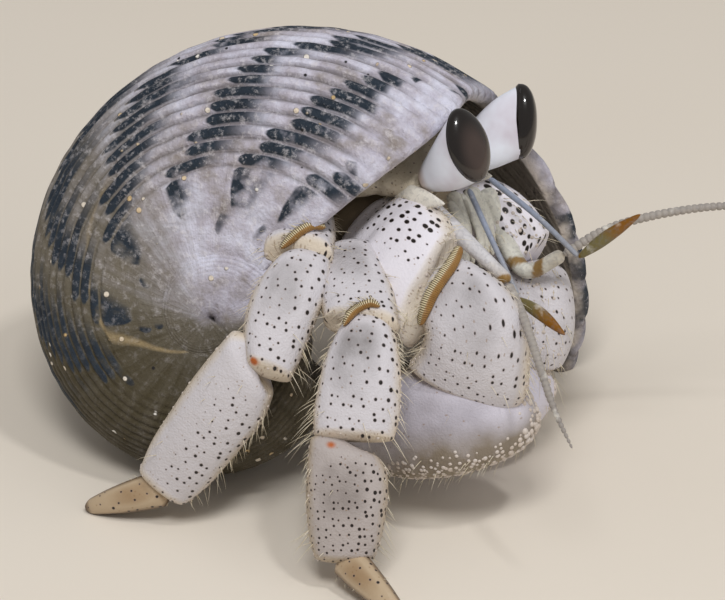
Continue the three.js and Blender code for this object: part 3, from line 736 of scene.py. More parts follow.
plate_lime = cuticle("limy cuticle of the plates", "#d0ccd1", "#868181", "#d6c9b7", 0.56, 0.074, 0.4, 0.115)
arm_lime = cuticle("limy cuticle of the claw arms", "#e8e4ec", "#b0a9ac", "#e2d8ca", 0.5, 0.1, 0.42, 0.07)
shin_lime = cuticle("dotted cuticle of the front shins",
                    "#b3aaa7", "#6c625d", "#b9aa95", 0.4, 0.072, 0.42, 0.13)
shield_lime = cuticle("cream cuticle of the shield",
                      "#d0c6b3", "#9c9385", "#cdbb9b", 0.62, 0.05, 0.42, 0.11)
palm_lime = cuticle("smooth cuticle of the claws", "#d6d2de", "#9f9aa3", "#d3c6b3", 0.8, 0.07, 0.33, 0.085)
nail_horn = cuticle("horny tip of the legs", "#b9a488", "#8a6a45", "#5d4630", 0.6, 0.06, 0.35, 0.03)
print("cuticles:", ", ".join(m.name for m in bpy.data.materials if "cuticle" in m.name))

# %% [markdown]
# ## Limbs: segments
# The same few points and widths as in the solids place every segment, so the surface lies
# where its solid does. Widths given as two lists are for the two sides of the middle
# line, the rear and upper side first.

# %% Claw arms
CHELIPEDS = {
    "right": {
        "merus": {
            "spine": ((-1.3, 2.5, 11.6), (2.1, 0.5, 11.8), (4.5, -0.5, 11.2)),
            "across": ((1.9, 2.3, 2.6, 2.7, 2.7, 2.6), (2.0, 2.5, 3.0, 3.2, 3.1, 2.5)),
            "through": (1.4, 1.6, 1.8, 1.75, 1.5), "face": OUT_RIGHT, "cuts": ((0.3, 1.0), (0.3, -1.5)),
        },
        "carpus": {
            "spine": ((4.5, 0.9, 12.3), (6.8, -0.8, 10.4), (6.5, -1.5, 7.3)),
            "across": ((0.6, 1.95, 2.4, 2.35, 2.4, 2.8), (0.6, 1.5, 2.3, 2.8, 3.1, 2.75)),
            "through": (1.5, 1.8, 1.85, 1.5), "face": OUT_RIGHT, "cuts": ((0.1, -0.35), (0.1, 0.65)),
        },
        "palm": {
            "spine": ((8.3, 1.0, 5.9), (8.0, -0.8, 6.0), (6.5, -2.1, 5.8), (4.1, -2.3, 5.0),
                      (1.5, -2.0, 3.6), (-0.6, -1.6, 2.2)),
            "across": (1.3, 2.2, 2.6, 2.5, 1.7, 0.5), "through": (1.1, 1.7, 1.9, 1.7, 1.1, 0.4),
            "face": OUT_RIGHT, "cuts": ((0.3, 0), (0.3, 0)),
        },
        "finger": {
            "spine": ((3.6, -0.3, 6.0), (1.6, 0.2, 4.6), (-0.4, -0.4, 2.9)),
            "across": (1.0, 1.0, 0.7, 0.3), "through": (0.9, 0.9, 0.7, 0.3), "face": OUT_RIGHT,
        },
    },
    "left": {
        "merus": {
            "spine": ((-1.0, 8.2, 10.8), (2.0, 8.8, 10.6), (4.4, 8.8, 9.1)),
            "across": (1.7, 2.3, 2.4, 2.0), "through": (1.3, 1.6, 1.7, 1.4), "face": OUT_LEFT,
        },
        "carpus": {
            "spine": ((4.6, 8.5, 8.9), (5.4, 7.4, 6.8), (5.6, 6.3, 4.6)),
            "across": (1.6, 2.3, 2.4, 2.0), "through": (1.4, 1.8, 1.8, 1.4), "face": OUT_LEFT,
        },
        "palm": {
            "spine": ((5.7, 6.6, 4.0), (5.5, 4.9, 3.4), (4.3, 3.4, 3.0), (2.6, 2.4, 2.5), (0.6, 1.8, 1.5)),
            "across": (1.4, 2.3, 2.5, 2.1, 1.2, 0.4), "through": (1.2, 1.8, 2.0, 1.7, 1.0, 0.4),
            "face": (0.75, 0.1, -0.65),
        },
        "finger": {
            "spine": ((2.4, 4.6, 4.4), (0.9, 3.7, 3.4), (-0.6, 2.7, 2.0)),
            "across": (0.9, 0.9, 0.6, 0.25), "through": (0.8, 0.8, 0.6, 0.25), "face": (0.75, 0.1, -0.65),
        },
    },
}

print("claw arms:", {hand: list(arm) for hand, arm in CHELIPEDS.items()})

# %% Walking legs
LEGS = {
    "front_right": {
        "joints": ((-0.5, -0.3, 12.2), (2.3, -4.1, 11.15), (4.0, -8.0, 7.1), (5.45, -10.05, 1.75),
                   (9.4, -11.5, 0.68)), "face": OUT_RIGHT, "half_width": 1.9, "half_thickness": 1.3},
    "rear_right": {
        "joints": ((-4.0, 1.0, 12.6), (-1.85, -2.7, 13.0), (-1.1, -7.45, 9.65), (-5.4, -9.55, 2.1),
                   (-8.8, -11.0, 0.68)), "face": OUT_RIGHT, "half_width": 1.95, "half_thickness": 1.3},
    "front_left": {
        "joints": ((-0.7, 9.6, 8.4), (3.0, 10.6, 6.7), (4.75, 9.95, 3.9), (1.55, 10.4, 1.55),
                   (-1.9, 10.1, 0.62)), "face": OUT_LEFT, "half_width": 1.5, "half_thickness": 1.1},
    "rear_left": {
        "joints": ((-3.6, 7.4, 8.0), (0.35, 8.1, 5.95), (2.35, 7.95, 3.0), (-1.05, 7.6, 1.45),
                   (-4.2, 7.4, 0.62)), "face": OUT_LEFT, "half_width": 1.4, "half_thickness": 1.05},
}
LEG_SEGMENTS = {
    "merus": {"across": (0.8, 0.95, 1, 0.85), "through": (0.85, 0.92, 0.92, 0.85), "bow": 0.15},
    "carpus": {"across": (0.72, 1, 1.03, 0.82), "through": (0.85, 1, 1, 0.85), "bow": 0.35},
    "propodus": {"across": (0.76, 1, 0.98, 0.86), "through": (0.85, 1, 0.96, 0.78), "bow": 0.12},
    "dactyl": {"across": (0.47, 0.42, 0.32, 0.16), "through": (0.62, 0.58, 0.46, 0.24), "bow": 0.1},
}
# The plates of the two right legs have outlines of their own: half widths in mm of the
# rear and the front side, and how far each side runs past the segment's ends.
SHAPED = {
    "leg_front_right_merus": (((1.0, 1.5, 1.7, 1.6), (1.2, 1.5, 1.9, 1.9)), ((0.3, 0.1), (0.3, 1.1))),
    "leg_front_right_carpus": (((0.5, 1.05, 1.38, 1.53, 1.6, 1.4), (1.1, 1.9, 2.25, 2.42, 2.48, 2.3)),
                               ((-0.1, 0.3), (0.5, 0.15))),
    "leg_front_right_propodus": (((1.55, 1.75, 1.88, 1.9, 1.8, 1.5), (1.35, 1.95, 2.0, 1.85, 1.6, 1.2)),
                                 ((0.4, 0.1), (-0.6, 0.1))),
    "leg_rear_right_merus": (((0.8, 1.5, 1.8, 1.7), (1.2, 1.55, 1.65, 1.6)), ((0.3, 0.4), (0.6, 0.9))),
    "leg_rear_right_carpus": (((0.7, 1.15, 1.4, 1.38, 1.05, 0.4), (1.4, 1.85, 1.92, 1.88, 1.85, 1.7)),
                              ((-0.5, 0.75), (0.4, 0.85))),
    "leg_rear_right_propodus": (((1.8, 1.95, 2.0, 1.92, 1.8, 1.4), (1.45, 1.9, 1.88, 1.8, 1.65, 1.25)),
                                ((0.6, 0.1), (-0.9, 0.1))),
}


def leg_segment(leg, segment, name):
    """Where one segment of a leg lies and how wide it is, in mm."""
    share = LEG_SEGMENTS[segment]
    k = list(LEG_SEGMENTS).index(segment)
    start, end = np.array(leg["joints"][k]), np.array(leg["joints"][k + 1])
    middle = (start + end) / 2 + np.array(leg["face"]) * share["bow"] * leg["half_thickness"]
    across, cuts = SHAPED.get(name, ([a * leg["half_width"] for a in share["across"]],
                                     ((0.25, 0.2), (0.25, 0.2))))
    return {"spine": (start, middle, end), "face": leg["face"], "across": across, "cuts": cuts,
            "through": [a * leg["half_thickness"] for a in share["through"]]}


# %% All segments
SEGMENTS = {}
for hand, arm in CHELIPEDS.items():
    for part, form in arm.items():
        SEGMENTS[f"cheliped_{hand}_{part}"] = {"cuts": ((0.25, 0.1), (0.25, 0.1)), **form}
for which, leg in LEGS.items():
    for part in LEG_SEGMENTS:
        SEGMENTS[f"leg_{which}_{part}"] = leg_segment(leg, part, f"leg_{which}_{part}")


def folds(share, angle, along):
    """mm outward: soft upright folds on the inner half of the right arm."""
    ripple = 0.06 * np.sin(along * 4.5 + 0.8 * np.sin(angle * 2))
    return ripple * smooth(0.05, 0.2, share) * smooth(0.7, 0.4, share)


SEGMENTS["cheliped_right_merus"]["relief"] = folds
print(len(SEGMENTS), "segments")

# %% Dress the segments
ORANGE = ((-0.84, -8.6, 9.96), (4.01, -9.21, 7.45), (1.2, -4.3, 11.2))  # mm, bare skin at joints
FINISHES = {"palm": palm_lime, "finger": palm_lime, "dactyl": nail_horn}
PLATES = {}
for name, form in SEGMENTS.items():
    part = name.split("_")[-1]
    pointed = part in ("dactyl", "finger")
    surface = limb_surface(**form, blunt=(0.5, 0.9), tip=(0.5, 0.7) if pointed else (0.3, 0.6))
    u, v = surface["share"], surface["aside"]
    margin = np.maximum(np.abs(v) ** 3, smooth(0.16, 0.02, 1 - u))
    bloom = 0.8 * smooth(0.95, 0.2, np.abs(v - 0.1)) * smooth(0.0, 0.3, u) * smooth(0.95, 0.3, u)
    pits = 0.8 + 0.5 * smooth(0.5, -0.9, v)
    if part in ("palm", "finger"):
        pits = 0 * pits
    if part == "merus" and name.startswith("cheliped"):  # pitted on its front half only
        pits = pits * smooth(0.05, -0.15, v) * smooth(0.2, 0.3, u) * smooth(0.92, 0.82, u)
    if part == "propodus":  # bare at its start, under the plate above
        pits = pits * smooth(0.10, 0.2, u - 0.16 * smooth(0.2, 0.7, v))
    if part == "propodus" and "rear" in name:
        pits = pits * smooth(0.35, 0.1, v + 0.25 * smooth(0.3, 0.05, u))
        bloom = 0.2 * bloom
    if part == "carpus" and "front" in name:
        bloom = 1.45 * bloom
    if name == "cheliped_right_merus":
        bloom = 0.2 * bloom
    if name.startswith("cheliped_left"):
        margin, bloom = 0.4 * margin, 0.5 * bloom
    if name == "cheliped_left_merus":
        pits = 1.3 * smooth(0.45, 0.75, np.abs(v)) * smooth(0.1, 0.2, u)
    # Grime and painted shade: darker olive on the claws' lower edge, over the fingers, and at the right
    # palm's start.
    grime_and_shade = smooth(0.15, -0.75, v) if part in ("palm", "finger") else 0 * u  # on the lower edge
    if part == "finger":
        grime_and_shade = 0.55 + 0 * u
    if name == "cheliped_right_palm":
        grime_and_shade = np.maximum(grime_and_shade, 0.8 * smooth(0.17, 0.03, u))
    if name == "cheliped_right_carpus":
        pits = 0.15 + 0.7 * pits
    to_spot = np.min([np.linalg.norm(surface["points"] - np.array(at), axis=-1) for at in ORANGE], axis=0)
    joint = np.minimum(1.3 * smooth(0.4, 0.16, to_spot), 1)
    PLATES[name] = surface
    look = FINISHES.get(part, plate_lime)
    if part == "merus" and name.startswith("cheliped"):
        look = arm_lime
    if part == "propodus" and "front" in name:
        look = shin_lime
    piece = grid_mesh(f"{name}_plate", surface["points"], "Plate", surface["uv"],
                      {"margin": margin, "bloom": bloom, "pits": pits, "joint": joint, "grime_and_shade": grime_and_shade}, look)
    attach(piece, "root")
    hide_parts(name)
print(len(PLATES), "limb segments")

# %% [markdown]
# ## Eyes
# The eyes stand on flattened stalks of smooth white cuticle. The cornea is a dark, glossy,
# leaf-shaped window over the end of each stalk, and the stalk's white rim shows all round
# it. Its thousands of facets are too fine to see, so the finish is a very dark brown under a
# clear coat, painted darker at its margin than in its heart as painted shade.

# %% Eyestalk enamel
stalk_enamel, tree, shader = new_material("white cuticle of the eyestalks", 0.28)
spot = add(tree, "ShaderNodeTexCoord", out="Object")
blush = add(tree, "ShaderNodeTexNoise", {"Vector": spot, "Scale": 380.0, "Detail": 3.0}, out=0)
blush = add(tree, "ShaderNodeMapRange", {"Value": blush, "From Min": 0.42, "From Max": 0.66})
tint = add(tree, "ShaderNodeMix", {0: blush, 6: colour("#f0f4ff"), 7: colour("#d3cbd6")}, out=2,
           data_type="RGBA")
root = add(tree, "ShaderNodeAttribute", out="Fac", attribute_name="root")
tint = add(tree, "ShaderNodeMix", {0: root, 6: tint, 7: colour("#b9a79c")}, out=2, data_type="RGBA")
tree.links.new(tint, shader.inputs["Base Color"])
fine = add(tree, "ShaderNodeTexNoise", {"Vector": spot, "Scale": 3000.0}, out=0)
bump = add(tree, "ShaderNodeBump", {"Height": fine, "Strength": 0.25, "Distance": 0.02 * MM})
tree.links.new(bump, shader.inputs["Normal"])

# %% Cornea
cornea_glass, tree, shader = new_material("dark cornea", 0.25, Coat_Weight=0.8, Coat_Roughness=0.03)
shader.inputs["Specular IOR Level"].default_value = 0.25
spot = add(tree, "ShaderNodeTexCoord", out="Object")
drift = add(tree, "ShaderNodeTexNoise", {"Vector": spot, "Scale": 300.0, "Detail": 2.0}, out=0)
# Painted shade: the cornea is painted near black at its margin and a lighter brown in its heart.
lit_heart = add(tree, "ShaderNodeAttribute", out="Fac", attribute_name="lit_heart")
depth = add(tree, "ShaderNodeMath", {0: drift, 1: lit_heart}, operation="MULTIPLY")
tint = add(tree, "ShaderNodeMix", {0: depth, 6: colour("#0c0908"), 7: colour("#5c4c46")}, out=2,
           data_type="RGBA")
tree.links.new(tint, shader.inputs["Base Color"])
facets = add(tree, "ShaderNodeTexVoronoi", {"Vector": spot, "Scale": 9000.0}, out=0)
bump = add(tree, "ShaderNodeBump", {"Height": facets, "Strength": 0.06, "Distance": 0.02 * MM})
tree.links.new(bump, shader.inputs["Normal"])
print("eye finishes:", stalk_enamel.name, "and", cornea_glass.name)

# %% A closed tube through rings
EYE_SIDES = 72


def ringed(middles, tall, thick, squareness=2.0, rings=60):
    """Points in mm of a closed tube, from the middle and the two half axes of each ring."""
    share = np.linspace(0, 1, rings)
    middle, up, out = (read_curve(one, share, False)[:, None] for one in (middles, tall, thick))
    angle = (np.arange(EYE_SIDES) / EYE_SIDES - 0.25) * 2 * np.pi
    across, through = (signed_power(wave(angle), 2 / squareness)[None, :, None] for wave in (np.cos, np.sin))
    grid = middle + up * across + out * through
    ends = [grid[k:k + 1].mean(axis=1, keepdims=True).repeat(EYE_SIDES, 1) for k in (0, rings - 1)]
    return np.concatenate([ends[0], grid, ends[1]])


def unrolled(grid, around, along):
    """Flat coordinates of a closed tube in mm, about as far round and along as it is."""
    return np.stack(np.meshgrid(np.linspace(0, around, EYE_SIDES + 1), np.linspace(0, along, len(grid))), -1)


# %% Eyes
EYES = {
    "right": {
        "rings": ((1.55, 3.25, 15.2), (2.79, 3.22, 16.4), (3.86, 3.36, 17.65)), "swell": (0.34, 0.72, 0.98),
        "gaze": (0.85, -0.18, 0.5), "tall": (-0.469, 0.184, 0.864), "thick": (-0.247, -0.967, 0.072),
        "half_height": 1.84, "half_thickness": 1.2, "reach": 0.6,
    },
    "left": {
        "rings": ((1.05, 7.5, 14.53), (2.16, 8.48, 15.45), (3.24, 9.35, 16.15)), "swell": (0.6, 0.9, 0.985),
        "gaze": (0.88, 0.46, 0.08), "tall": (-0.257, 0.411, 0.875), "thick": (0.463, -0.742, 0.485),
        "half_height": 1.84, "half_thickness": 0.9, "reach": 0.85,
    },
}
for hand, eye in EYES.items():
    ahead, tall, thick = (unit(np.array(eye[key])) for key in ("gaze", "tall", "thick"))
    tall, thick = tall * eye["half_height"], thick * eye["half_thickness"]
    rim = np.array(eye["rings"][-1])
    swell = np.array(eye["swell"])[:, None]
    stalk = ringed(eye["rings"], tall * swell, thick * swell)
    along = np.linspace(0, 1, len(stalk))[:, None] * np.ones(EYE_SIDES)
    piece = grid_mesh(f"eyestalk_{hand}_cuticle", stalk, "Plate", unrolled(stalk, 7, 4),
                      {"root": smooth(0.25, 0, along)}, stalk_enamel)
    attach(piece, "root")
    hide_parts(f"eyestalk_{hand}")
    forward = np.array([-0.25, -0.1, 0, 0.2, 0.45, 0.7, 0.88, 0.97, 1])[:, None]
    fullness = (1 - np.clip(forward, 0, 1) ** 2.3) ** 0.5 * np.where(forward < -0.2, 0.93, 1)
    lens = ringed(rim + ahead * forward * eye["reach"], tall * fullness, thick * fullness * 1.03, 1.85, 80)
    from_rim = lens - rim
    up = from_rim @ unit(tall) / eye["half_height"]
    across = from_rim @ unit(thick) / eye["half_thickness"]
    # Painted shade: 1 in the cornea's heart, a little below its middle, falling to 0.1 at its darker margin.
    lit_heart = smooth(0.95, 0.3, np.hypot(across, 0.95 * up + 0.25)) * 0.9 + 0.1
    piece = grid_mesh(f"cornea_{hand}_glass", lens, "Plate", unrolled(lens, 7, 2), {"lit_heart": lit_heart},
                      cornea_glass)
    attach(piece, "root")
    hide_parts(f"cornea_{hand}")
print("eyes", 2 * EYES["right"]["half_height"], "mm tall")

# %% [markdown]
# ## Feelers and mouthparts
# The long antennae are strings of short rings on a jointed, cream-white base with orange
# at the joint. The antennules are blue-grey rods that end in olive and brown paddles. The
# scales beside the eyes and the mouthparts are plain plates.

# %% Paths and half widths of the feelers, in mm
FEELERS = {
    "antenna_base_right": (((1.9, 3.3, 13.7), (4.6, 2.3, 13.0), (7.1, 1.8, 11.9)),
                           (0.5, 0.5, 0.42, 0.36), (0.45, 0.45, 0.4, 0.34)),
    "antenna_base_left": (((2.4, 7.5, 12.9), (3.6, 7.2, 11.0), (5.5, 6.3, 9.9), (7.2, 6.8, 11.0)),
                          (0.5, 0.5, 0.45, 0.38, 0.34), (0.45, 0.45, 0.4, 0.34)),
    "antenna_whip_right": (((7.3, 1.6, 11.75), (9.2, -0.2, 11.4), (11.1, -2.0, 10.4),
                            (13.0, -3.7, 9.2), (14.6, -4.8, 8.2)), (0.3, 0.29, 0.27, 0.22, 0.07),
                           (0.3, 0.29, 0.27, 0.22, 0.07)),
    "antenna_whip_left": (((7.35, 6.9, 11.1), (8.5, 8.2, 12.0), (10.0, 9.5, 12.6),
                           (13.3, 12.0, 13.1), (17.0, 14.6, 12.6)), (0.3, 0.29, 0.27, 0.22, 0.07),
                          (0.3, 0.29, 0.27, 0.22, 0.07)),
    "antennule_stem_right": (((3.0, 5.0, 14.2), (5.2, 3.6, 12.6), (7.3, 2.4, 10.9)),
                             (0.3, 0.28, 0.26), (0.3, 0.28, 0.26)),
    "antennule_tip_right": (((7.5, 2.2, 10.8), (9.0, 1.7, 10.7), (10.6, 1.2, 10.3)),
                            (0.16, 0.38, 0.34, 0.1), (0.14, 0.27, 0.24, 0.08)),
    "antennule_stem_left": (((2.9, 7.2, 13.8), (6.0, 6.4, 13.0), (8.9, 5.3, 12.2)),
                            (0.3, 0.28, 0.26), (0.3, 0.28, 0.26)),
    "antennule_tip_left": (((9.1, 5.3, 12.2), (10.3, 5.9, 13.4), (11.6, 6.5, 14.6)),
                           (0.16, 0.38, 0.34, 0.1), (0.14, 0.27, 0.24, 0.08)),
    "acicle_right": (((0.3, 2.8, 14.2), (2.0, 2.4, 14.6), (3.4, 1.9, 15.0)),
                     (0.7, 0.5, 0.06), (0.3, 0.25, 0.08)),
    "acicle_left": (((0.2, 8.0, 12.9), (1.3, 8.1, 13.2), (2.4, 8.0, 13.5)),
                    (0.7, 0.5, 0.06), (0.3, 0.25, 0.08)),
    "maxilliped_right": (((2.1, 4.9, 13.8), (3.2, 4.3, 12.3), (3.7, 3.4, 10.8)),
                         (0.6, 0.55, 0.4), (0.4, 0.4, 0.35)),
    "maxilliped_left": (((2.3, 6.2, 13.5), (3.4, 5.7, 11.9), (3.9, 4.8, 10.4)),
                        (0.6, 0.55, 0.4), (0.4, 0.4, 0.35)),
}
ANNULUS = 0.3  # mm, one ring of an antenna
print(len(FEELERS), "feelers, scales and mouthparts")


# %% Finish of the feelers
def banded(name, root_hex, tip_hex, roughness, change=0.7):
    """change: the share of the length at which the root's colour gives way to the tip's."""
    material, tree, shader = new_material(name, roughness)
    run = add(tree, "ShaderNodeAttribute", out="Fac", attribute_name="run")
    spot = add(tree, "ShaderNodeTexCoord", out="Object")
    cloud, fine = (add(tree, "ShaderNodeTexNoise", {"Vector": spot, "Scale": scale, "Detail": detail}, out=0)
                   for scale, detail in ((1200.0, 3.0), (5500.0, 2.0)))
    joint = add(tree, "ShaderNodeAttribute", out="Fac", attribute_name="joint")
    run = add(tree, "ShaderNodeMath", {0: cloud, 1: 0.5, 2: run}, operation="MULTIPLY_ADD")
    joint = add(tree, "ShaderNodeMath", {0: joint, 1: cloud}, operation="MULTIPLY")
    tint = colour(root_hex)
    for share, none, full, most, tone in (
        (run, change, change + 0.35, 1.0, tip_hex), (cloud, 0.6, 0.72, 0.5, "#eeeae0"),
        (fine, 0.5, 0.62, 0.22, "#77767c"), (joint, 0.08, 0.5, 0.9, "#85600c"),
    ):
        share = add(tree, "ShaderNodeMapRange", {"Value": share, "From Min": none, "From Max": full,
                                                 "To Max": most})
        tint = add(tree, "ShaderNodeMix", {0: share, 6: tint, 7: colour(tone)}, out=2, data_type="RGBA")
    tree.links.new(tint, shader.inputs["Base Color"])
    bump = add(tree, "ShaderNodeBump", {"Height": fine, "Strength": 0.7, "Distance": 0.06 * MM})
    tree.links.new(bump, shader.inputs["Normal"])
    return material


SLIMMER = {"antenna_whip": 0.78, "antennule_stem": 0.5, "antennule_tip": 0.8, "antenna_base_right": 0.85,
           "maxilliped": 0.62}
JOINTS = {"antenna_base_right": (0.97,), "antenna_base_left": (0.6, 0.8), "antennule_tip_left": (0.0,),
          "antennule_tip_right": (0.0,)}  # orange bands, as shares of the length
LOOKS = {
    "antenna_base": banded("cream cuticle of the antenna bases", "#cfcdd0", "#b3a48f", 0.4, 1.05),
    "antenna_base_left": banded("olive-white cuticle of the left antenna base", "#dbd9cf", "#b3a48f", 0.4,
                                1.05),
    "antenna_whip": banded("ringed cuticle of the antennae", "#a39c95", "#97908a", 0.4),
    "antennule_stem": banded("blue-grey cuticle of the antennules", "#8f97a9", "#9a9da6", 0.3),
    "antennule_tip": banded("olive and brown antennule paddle", "#71673f", "#80520c", 0.33, 0.62),
    "acicle": banded("ivory eye scale", "#f0eade", "#f2ede2", 0.35),
    "maxilliped": banded("olive-grey mouthpart cuticle", "#c9c6bb", "#dad7cc", 0.4),
}
print("feeler finishes:", ", ".join(LOOKS))


# %% Build the feelers
def annuli(share, angle, along):
    """mm outward: a notch after each short ring of an antenna."""
    return -0.07 * (1 - np.abs(np.sin(np.pi * along / ANNULUS))) ** 2 * np.ones_like(angle)


for name, (spine, across, through) in FEELERS.items():
    kind = name.rsplit("_", 1)[0]
    across, through = (np.array(w) * SLIMMER.get(name, SLIMMER.get(kind, 1)) for w in (across, through))
    rings, relief = (320, annuli) if kind == "antenna_whip" else (60, None)
    surface = limb_surface(spine, across, through, OUT_RIGHT, ((0.12, 0.1), (0.12, 0.1)), 2, 2, rings, 24,
                           blunt=(0.3, 0.3), relief=relief)
    joint = sum(1.6 * smooth(0.055, 0.01, np.abs(surface["share"] - at + 0.03 * surface["aside"]))
                for at in JOINTS.get(name, ())) + 0 * surface["share"]
    piece = grid_mesh(f"{name}_cuticle", surface["points"], "Plate", surface["uv"],
                      {"run": surface["share"], "joint": np.minimum(joint, 0.95)},
                      LOOKS.get(name, LOOKS[kind]))
    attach(piece, "root")
    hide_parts(name)
print("antenna rings every", ANNULUS, "mm")

# %% Small mouth palps
PALPS = {
    "1": ((1.7, 3.7, 13.3), (3.0, 3.5, 12.2), (3.5, 3.2, 11.0)),
    "2": ((2.2, 4.4, 13.7), (3.5, 4.0, 12.4), (4.0, 3.8, 11.0)),
    "3": ((2.3, 5.3, 13.7), (3.6, 4.9, 12.3), (4.2, 4.3, 11.0)),
    "4": ((2.3, 5.8, 13.6), (3.6, 5.3, 12.1), (4.2, 4.7, 10.7)),
    "5": ((2.1, 6.9, 13.3), (3.3, 6.4, 11.9), (3.9, 5.8, 10.5)),
    "6": ((1.5, 7.5, 12.9), (2.7, 7.1, 11.6), (3.3, 6.6, 10.3)),
}  # mm
PALP_SURFACES = {}
for name, spine in PALPS.items():
    surface = limb_surface(spine, (0.2, 0.27, 0.22, 0.1), (0.2, 0.24, 0.18, 0.09), (0.9, -0.1, 0.4),
                           squareness=2, flatness=2, rings=40, sides=24, blunt=(0.3, 0.3))
    piece = grid_mesh(f"mouth_palp_{name}", surface["points"], "Plate", surface["uv"],
                      {"run": surface["share"], "joint": 0 * surface["share"]}, LOOKS["maxilliped"])
    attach(piece, "root")
    PALP_SURFACES[f"palp_{name}"] = surface
print(len(PALPS), "palps")

# %% [markdown]
# ## Shield
# The shield is the hard plate of the back, behind the eyes. It is cream with a grey bloom
# and small pits. A curved groove crosses it and a weak one runs along its middle. The
# grooves are cut into the surface, not drawn on it, because their walls catch the light.

# %% Shield
def shield_grooves(share, angle, along):
    """mm outward: a curved groove across the back, a weak one along it, and low wrinkles."""
    across = np.exp(-(((share - 0.52 - 0.12 * np.cos(angle) ** 2) / 0.035) ** 2))
    middle = np.exp(-((np.cos(angle) / 0.09) ** 2))
    wrinkles = np.sin(along * 7 + 2 * np.sin(angle * 3)) * np.sin(angle * 9 + along)
    return -0.16 * across - 0.08 * middle + 0.03 * wrinkles


surface = limb_surface(((-6.0, 3.6, 13.4), (-2.6, 4.6, 14.9), (1.3, 5.9, 14.9)), (2.6, 3.2, 3.1, 2.6),
                       (0.8, 1.1, 1.0, 0.6), (0, -0.15, 1), relief=shield_grooves)
bloom = smooth(1, 0.2, np.abs(surface["aside"]))
none = 0 * bloom
piece = grid_mesh("shield_plate", surface["points"], "Plate", surface["uv"],
                  {"margin": none + 0.6, "bloom": bloom, "pits": none + 0.7, "joint": none, "grime_and_shade": none},
                  shield_lime)
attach(piece, "root")
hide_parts("shield")
print("shield:", len(piece.data.polygons), "faces")

# %% [markdown]
# ## Soft skin
# Behind the shield the animal is soft: the thorax that the legs grow from, and the abdomen
# that fills the whorl. A merged copy of the two solids is remeshed into one, smoothed and
# drawn in a little, so that it is a single skin with no seam. Its finish is a dull
# olive-cream, clouded in patches of about 1.5 mm, with fine creases that soften the light.

# %% Two-tone finishes
def mottled(name, roughness, one_hex, other_hex, scale, detail=2.0):
    """A finish whose colour wanders between two tones, this many times in a metre."""
    material, tree, shader = new_material(name, roughness)
    spot = add(tree, "ShaderNodeTexCoord", out="Object")
    cloud = add(tree, "ShaderNodeTexNoise", {"Vector": spot, "Scale": scale, "Detail": detail}, out=0)
    tint = add(tree, "ShaderNodeMix", {0: cloud, 6: colour(one_hex), 7: colour(other_hex)}, out=2,
               data_type="RGBA")
    tree.links.new(tint, shader.inputs["Base Color"])
    return material, tree, shader


flesh, tree, shader = mottled("soft skin of the trunk", 0.5, "#ac9c84", "#76664f", 700.0, 4.0)
spot = add(tree, "ShaderNodeTexCoord", out="Object")
creases = add(tree, "ShaderNodeTexNoise", {"Vector": spot, "Scale": 1500.0, "Detail": 3.0}, out=0)
bump = add(tree, "ShaderNodeBump", {"Height": creases, "Strength": 0.7, "Distance": 0.15 * MM})
tree.links.new(bump, shader.inputs["Normal"])
print("skin finish:", flesh.name)

# %% One skin
work = bmesh.new()
for name in ("thorax", "abdomen"):
    work.from_mesh(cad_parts[name].data)
bmesh.ops.remove_doubles(work, verts=work.verts, dist=1e-6)
mesh = bpy.data.meshes.new("soft_skin")
work.to_mesh(mesh)
work.free()
skin = bpy.data.objects.new("soft_skin", mesh)
bpy.context.scene.collection.objects.link(skin)
remesh = skin.modifiers.new("remesh", "REMESH")
remesh.mode, remesh.voxel_size = "VOXEL", 0.3 * MM
calm = skin.modifiers.new("smooth", "SMOOTH")
calm.factor, calm.iterations = 0.6, 12
bpy.context.view_layer.update()
mesh = bpy.data.meshes.new_from_object(skin.evaluated_get(bpy.context.evaluated_depsgraph_get()))
skin.modifiers.clear()
skin.data = mesh
mesh.materials.append(flesh)
mesh.shade_smooth()
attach(skin, "root")
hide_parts("thorax", "abdomen")
print("skin:", len(mesh.polygons), "faces")

# %% [markdown]
# ## Joint membranes
# Where a wrist or shin hangs from the plate above it, the gap is closed by a soft golden
# membrane that folds like a comb. It is made as a low pleated roll that follows the rim of
# the upper plate.

# %% Membrane finish
PLEAT = 0.1  # mm
membrane, tree, shader = new_material("golden pleated joint membrane", 0.3)
flat = add(tree, "ShaderNodeUVMap", uv_map="Plate")
split = add(tree, "ShaderNodeSeparateXYZ", {0: flat}, out=None)
fold = add(tree, "ShaderNodeMath", {0: split.outputs[1], 1: 1 / PLEAT}, operation="MULTIPLY")
fold = add(tree, "ShaderNodeMath", {0: fold, 1: 0.5}, operation="PINGPONG")
fold = add(tree, "ShaderNodeMapRange", {"Value": fold, "From Min": 0.1, "From Max": 0.4})
spot = add(tree, "ShaderNodeTexCoord", out="Object")
cloud = add(tree, "ShaderNodeTexNoise", {"Vector": spot, "Scale": 1400.0, "Detail": 3.0}, out=0)
amber = add(tree, "ShaderNodeMix", {0: cloud, 6: colour("#80592c"), 7: colour("#ad8449")}, out=2,
            data_type="RGBA")
comb_side = add(tree, "ShaderNodeAttribute", out="Fac", attribute_name="comb")
stripes = add(tree, "ShaderNodeMix", {0: fold, 6: colour("#54401f"), 7: colour("#e9dcb8")}, out=2,
              data_type="RGBA")
tint = add(tree, "ShaderNodeMix", {0: comb_side, 6: amber, 7: stripes}, out=2, data_type="RGBA")
tree.links.new(tint, shader.inputs["Base Color"])
bump = add(tree, "ShaderNodeBump", {"Height": fold, "Strength": 0.8, "Distance": 0.05 * MM})
tree.links.new(bump, shader.inputs["Normal"])
print("a pleat every", PLEAT, "mm")

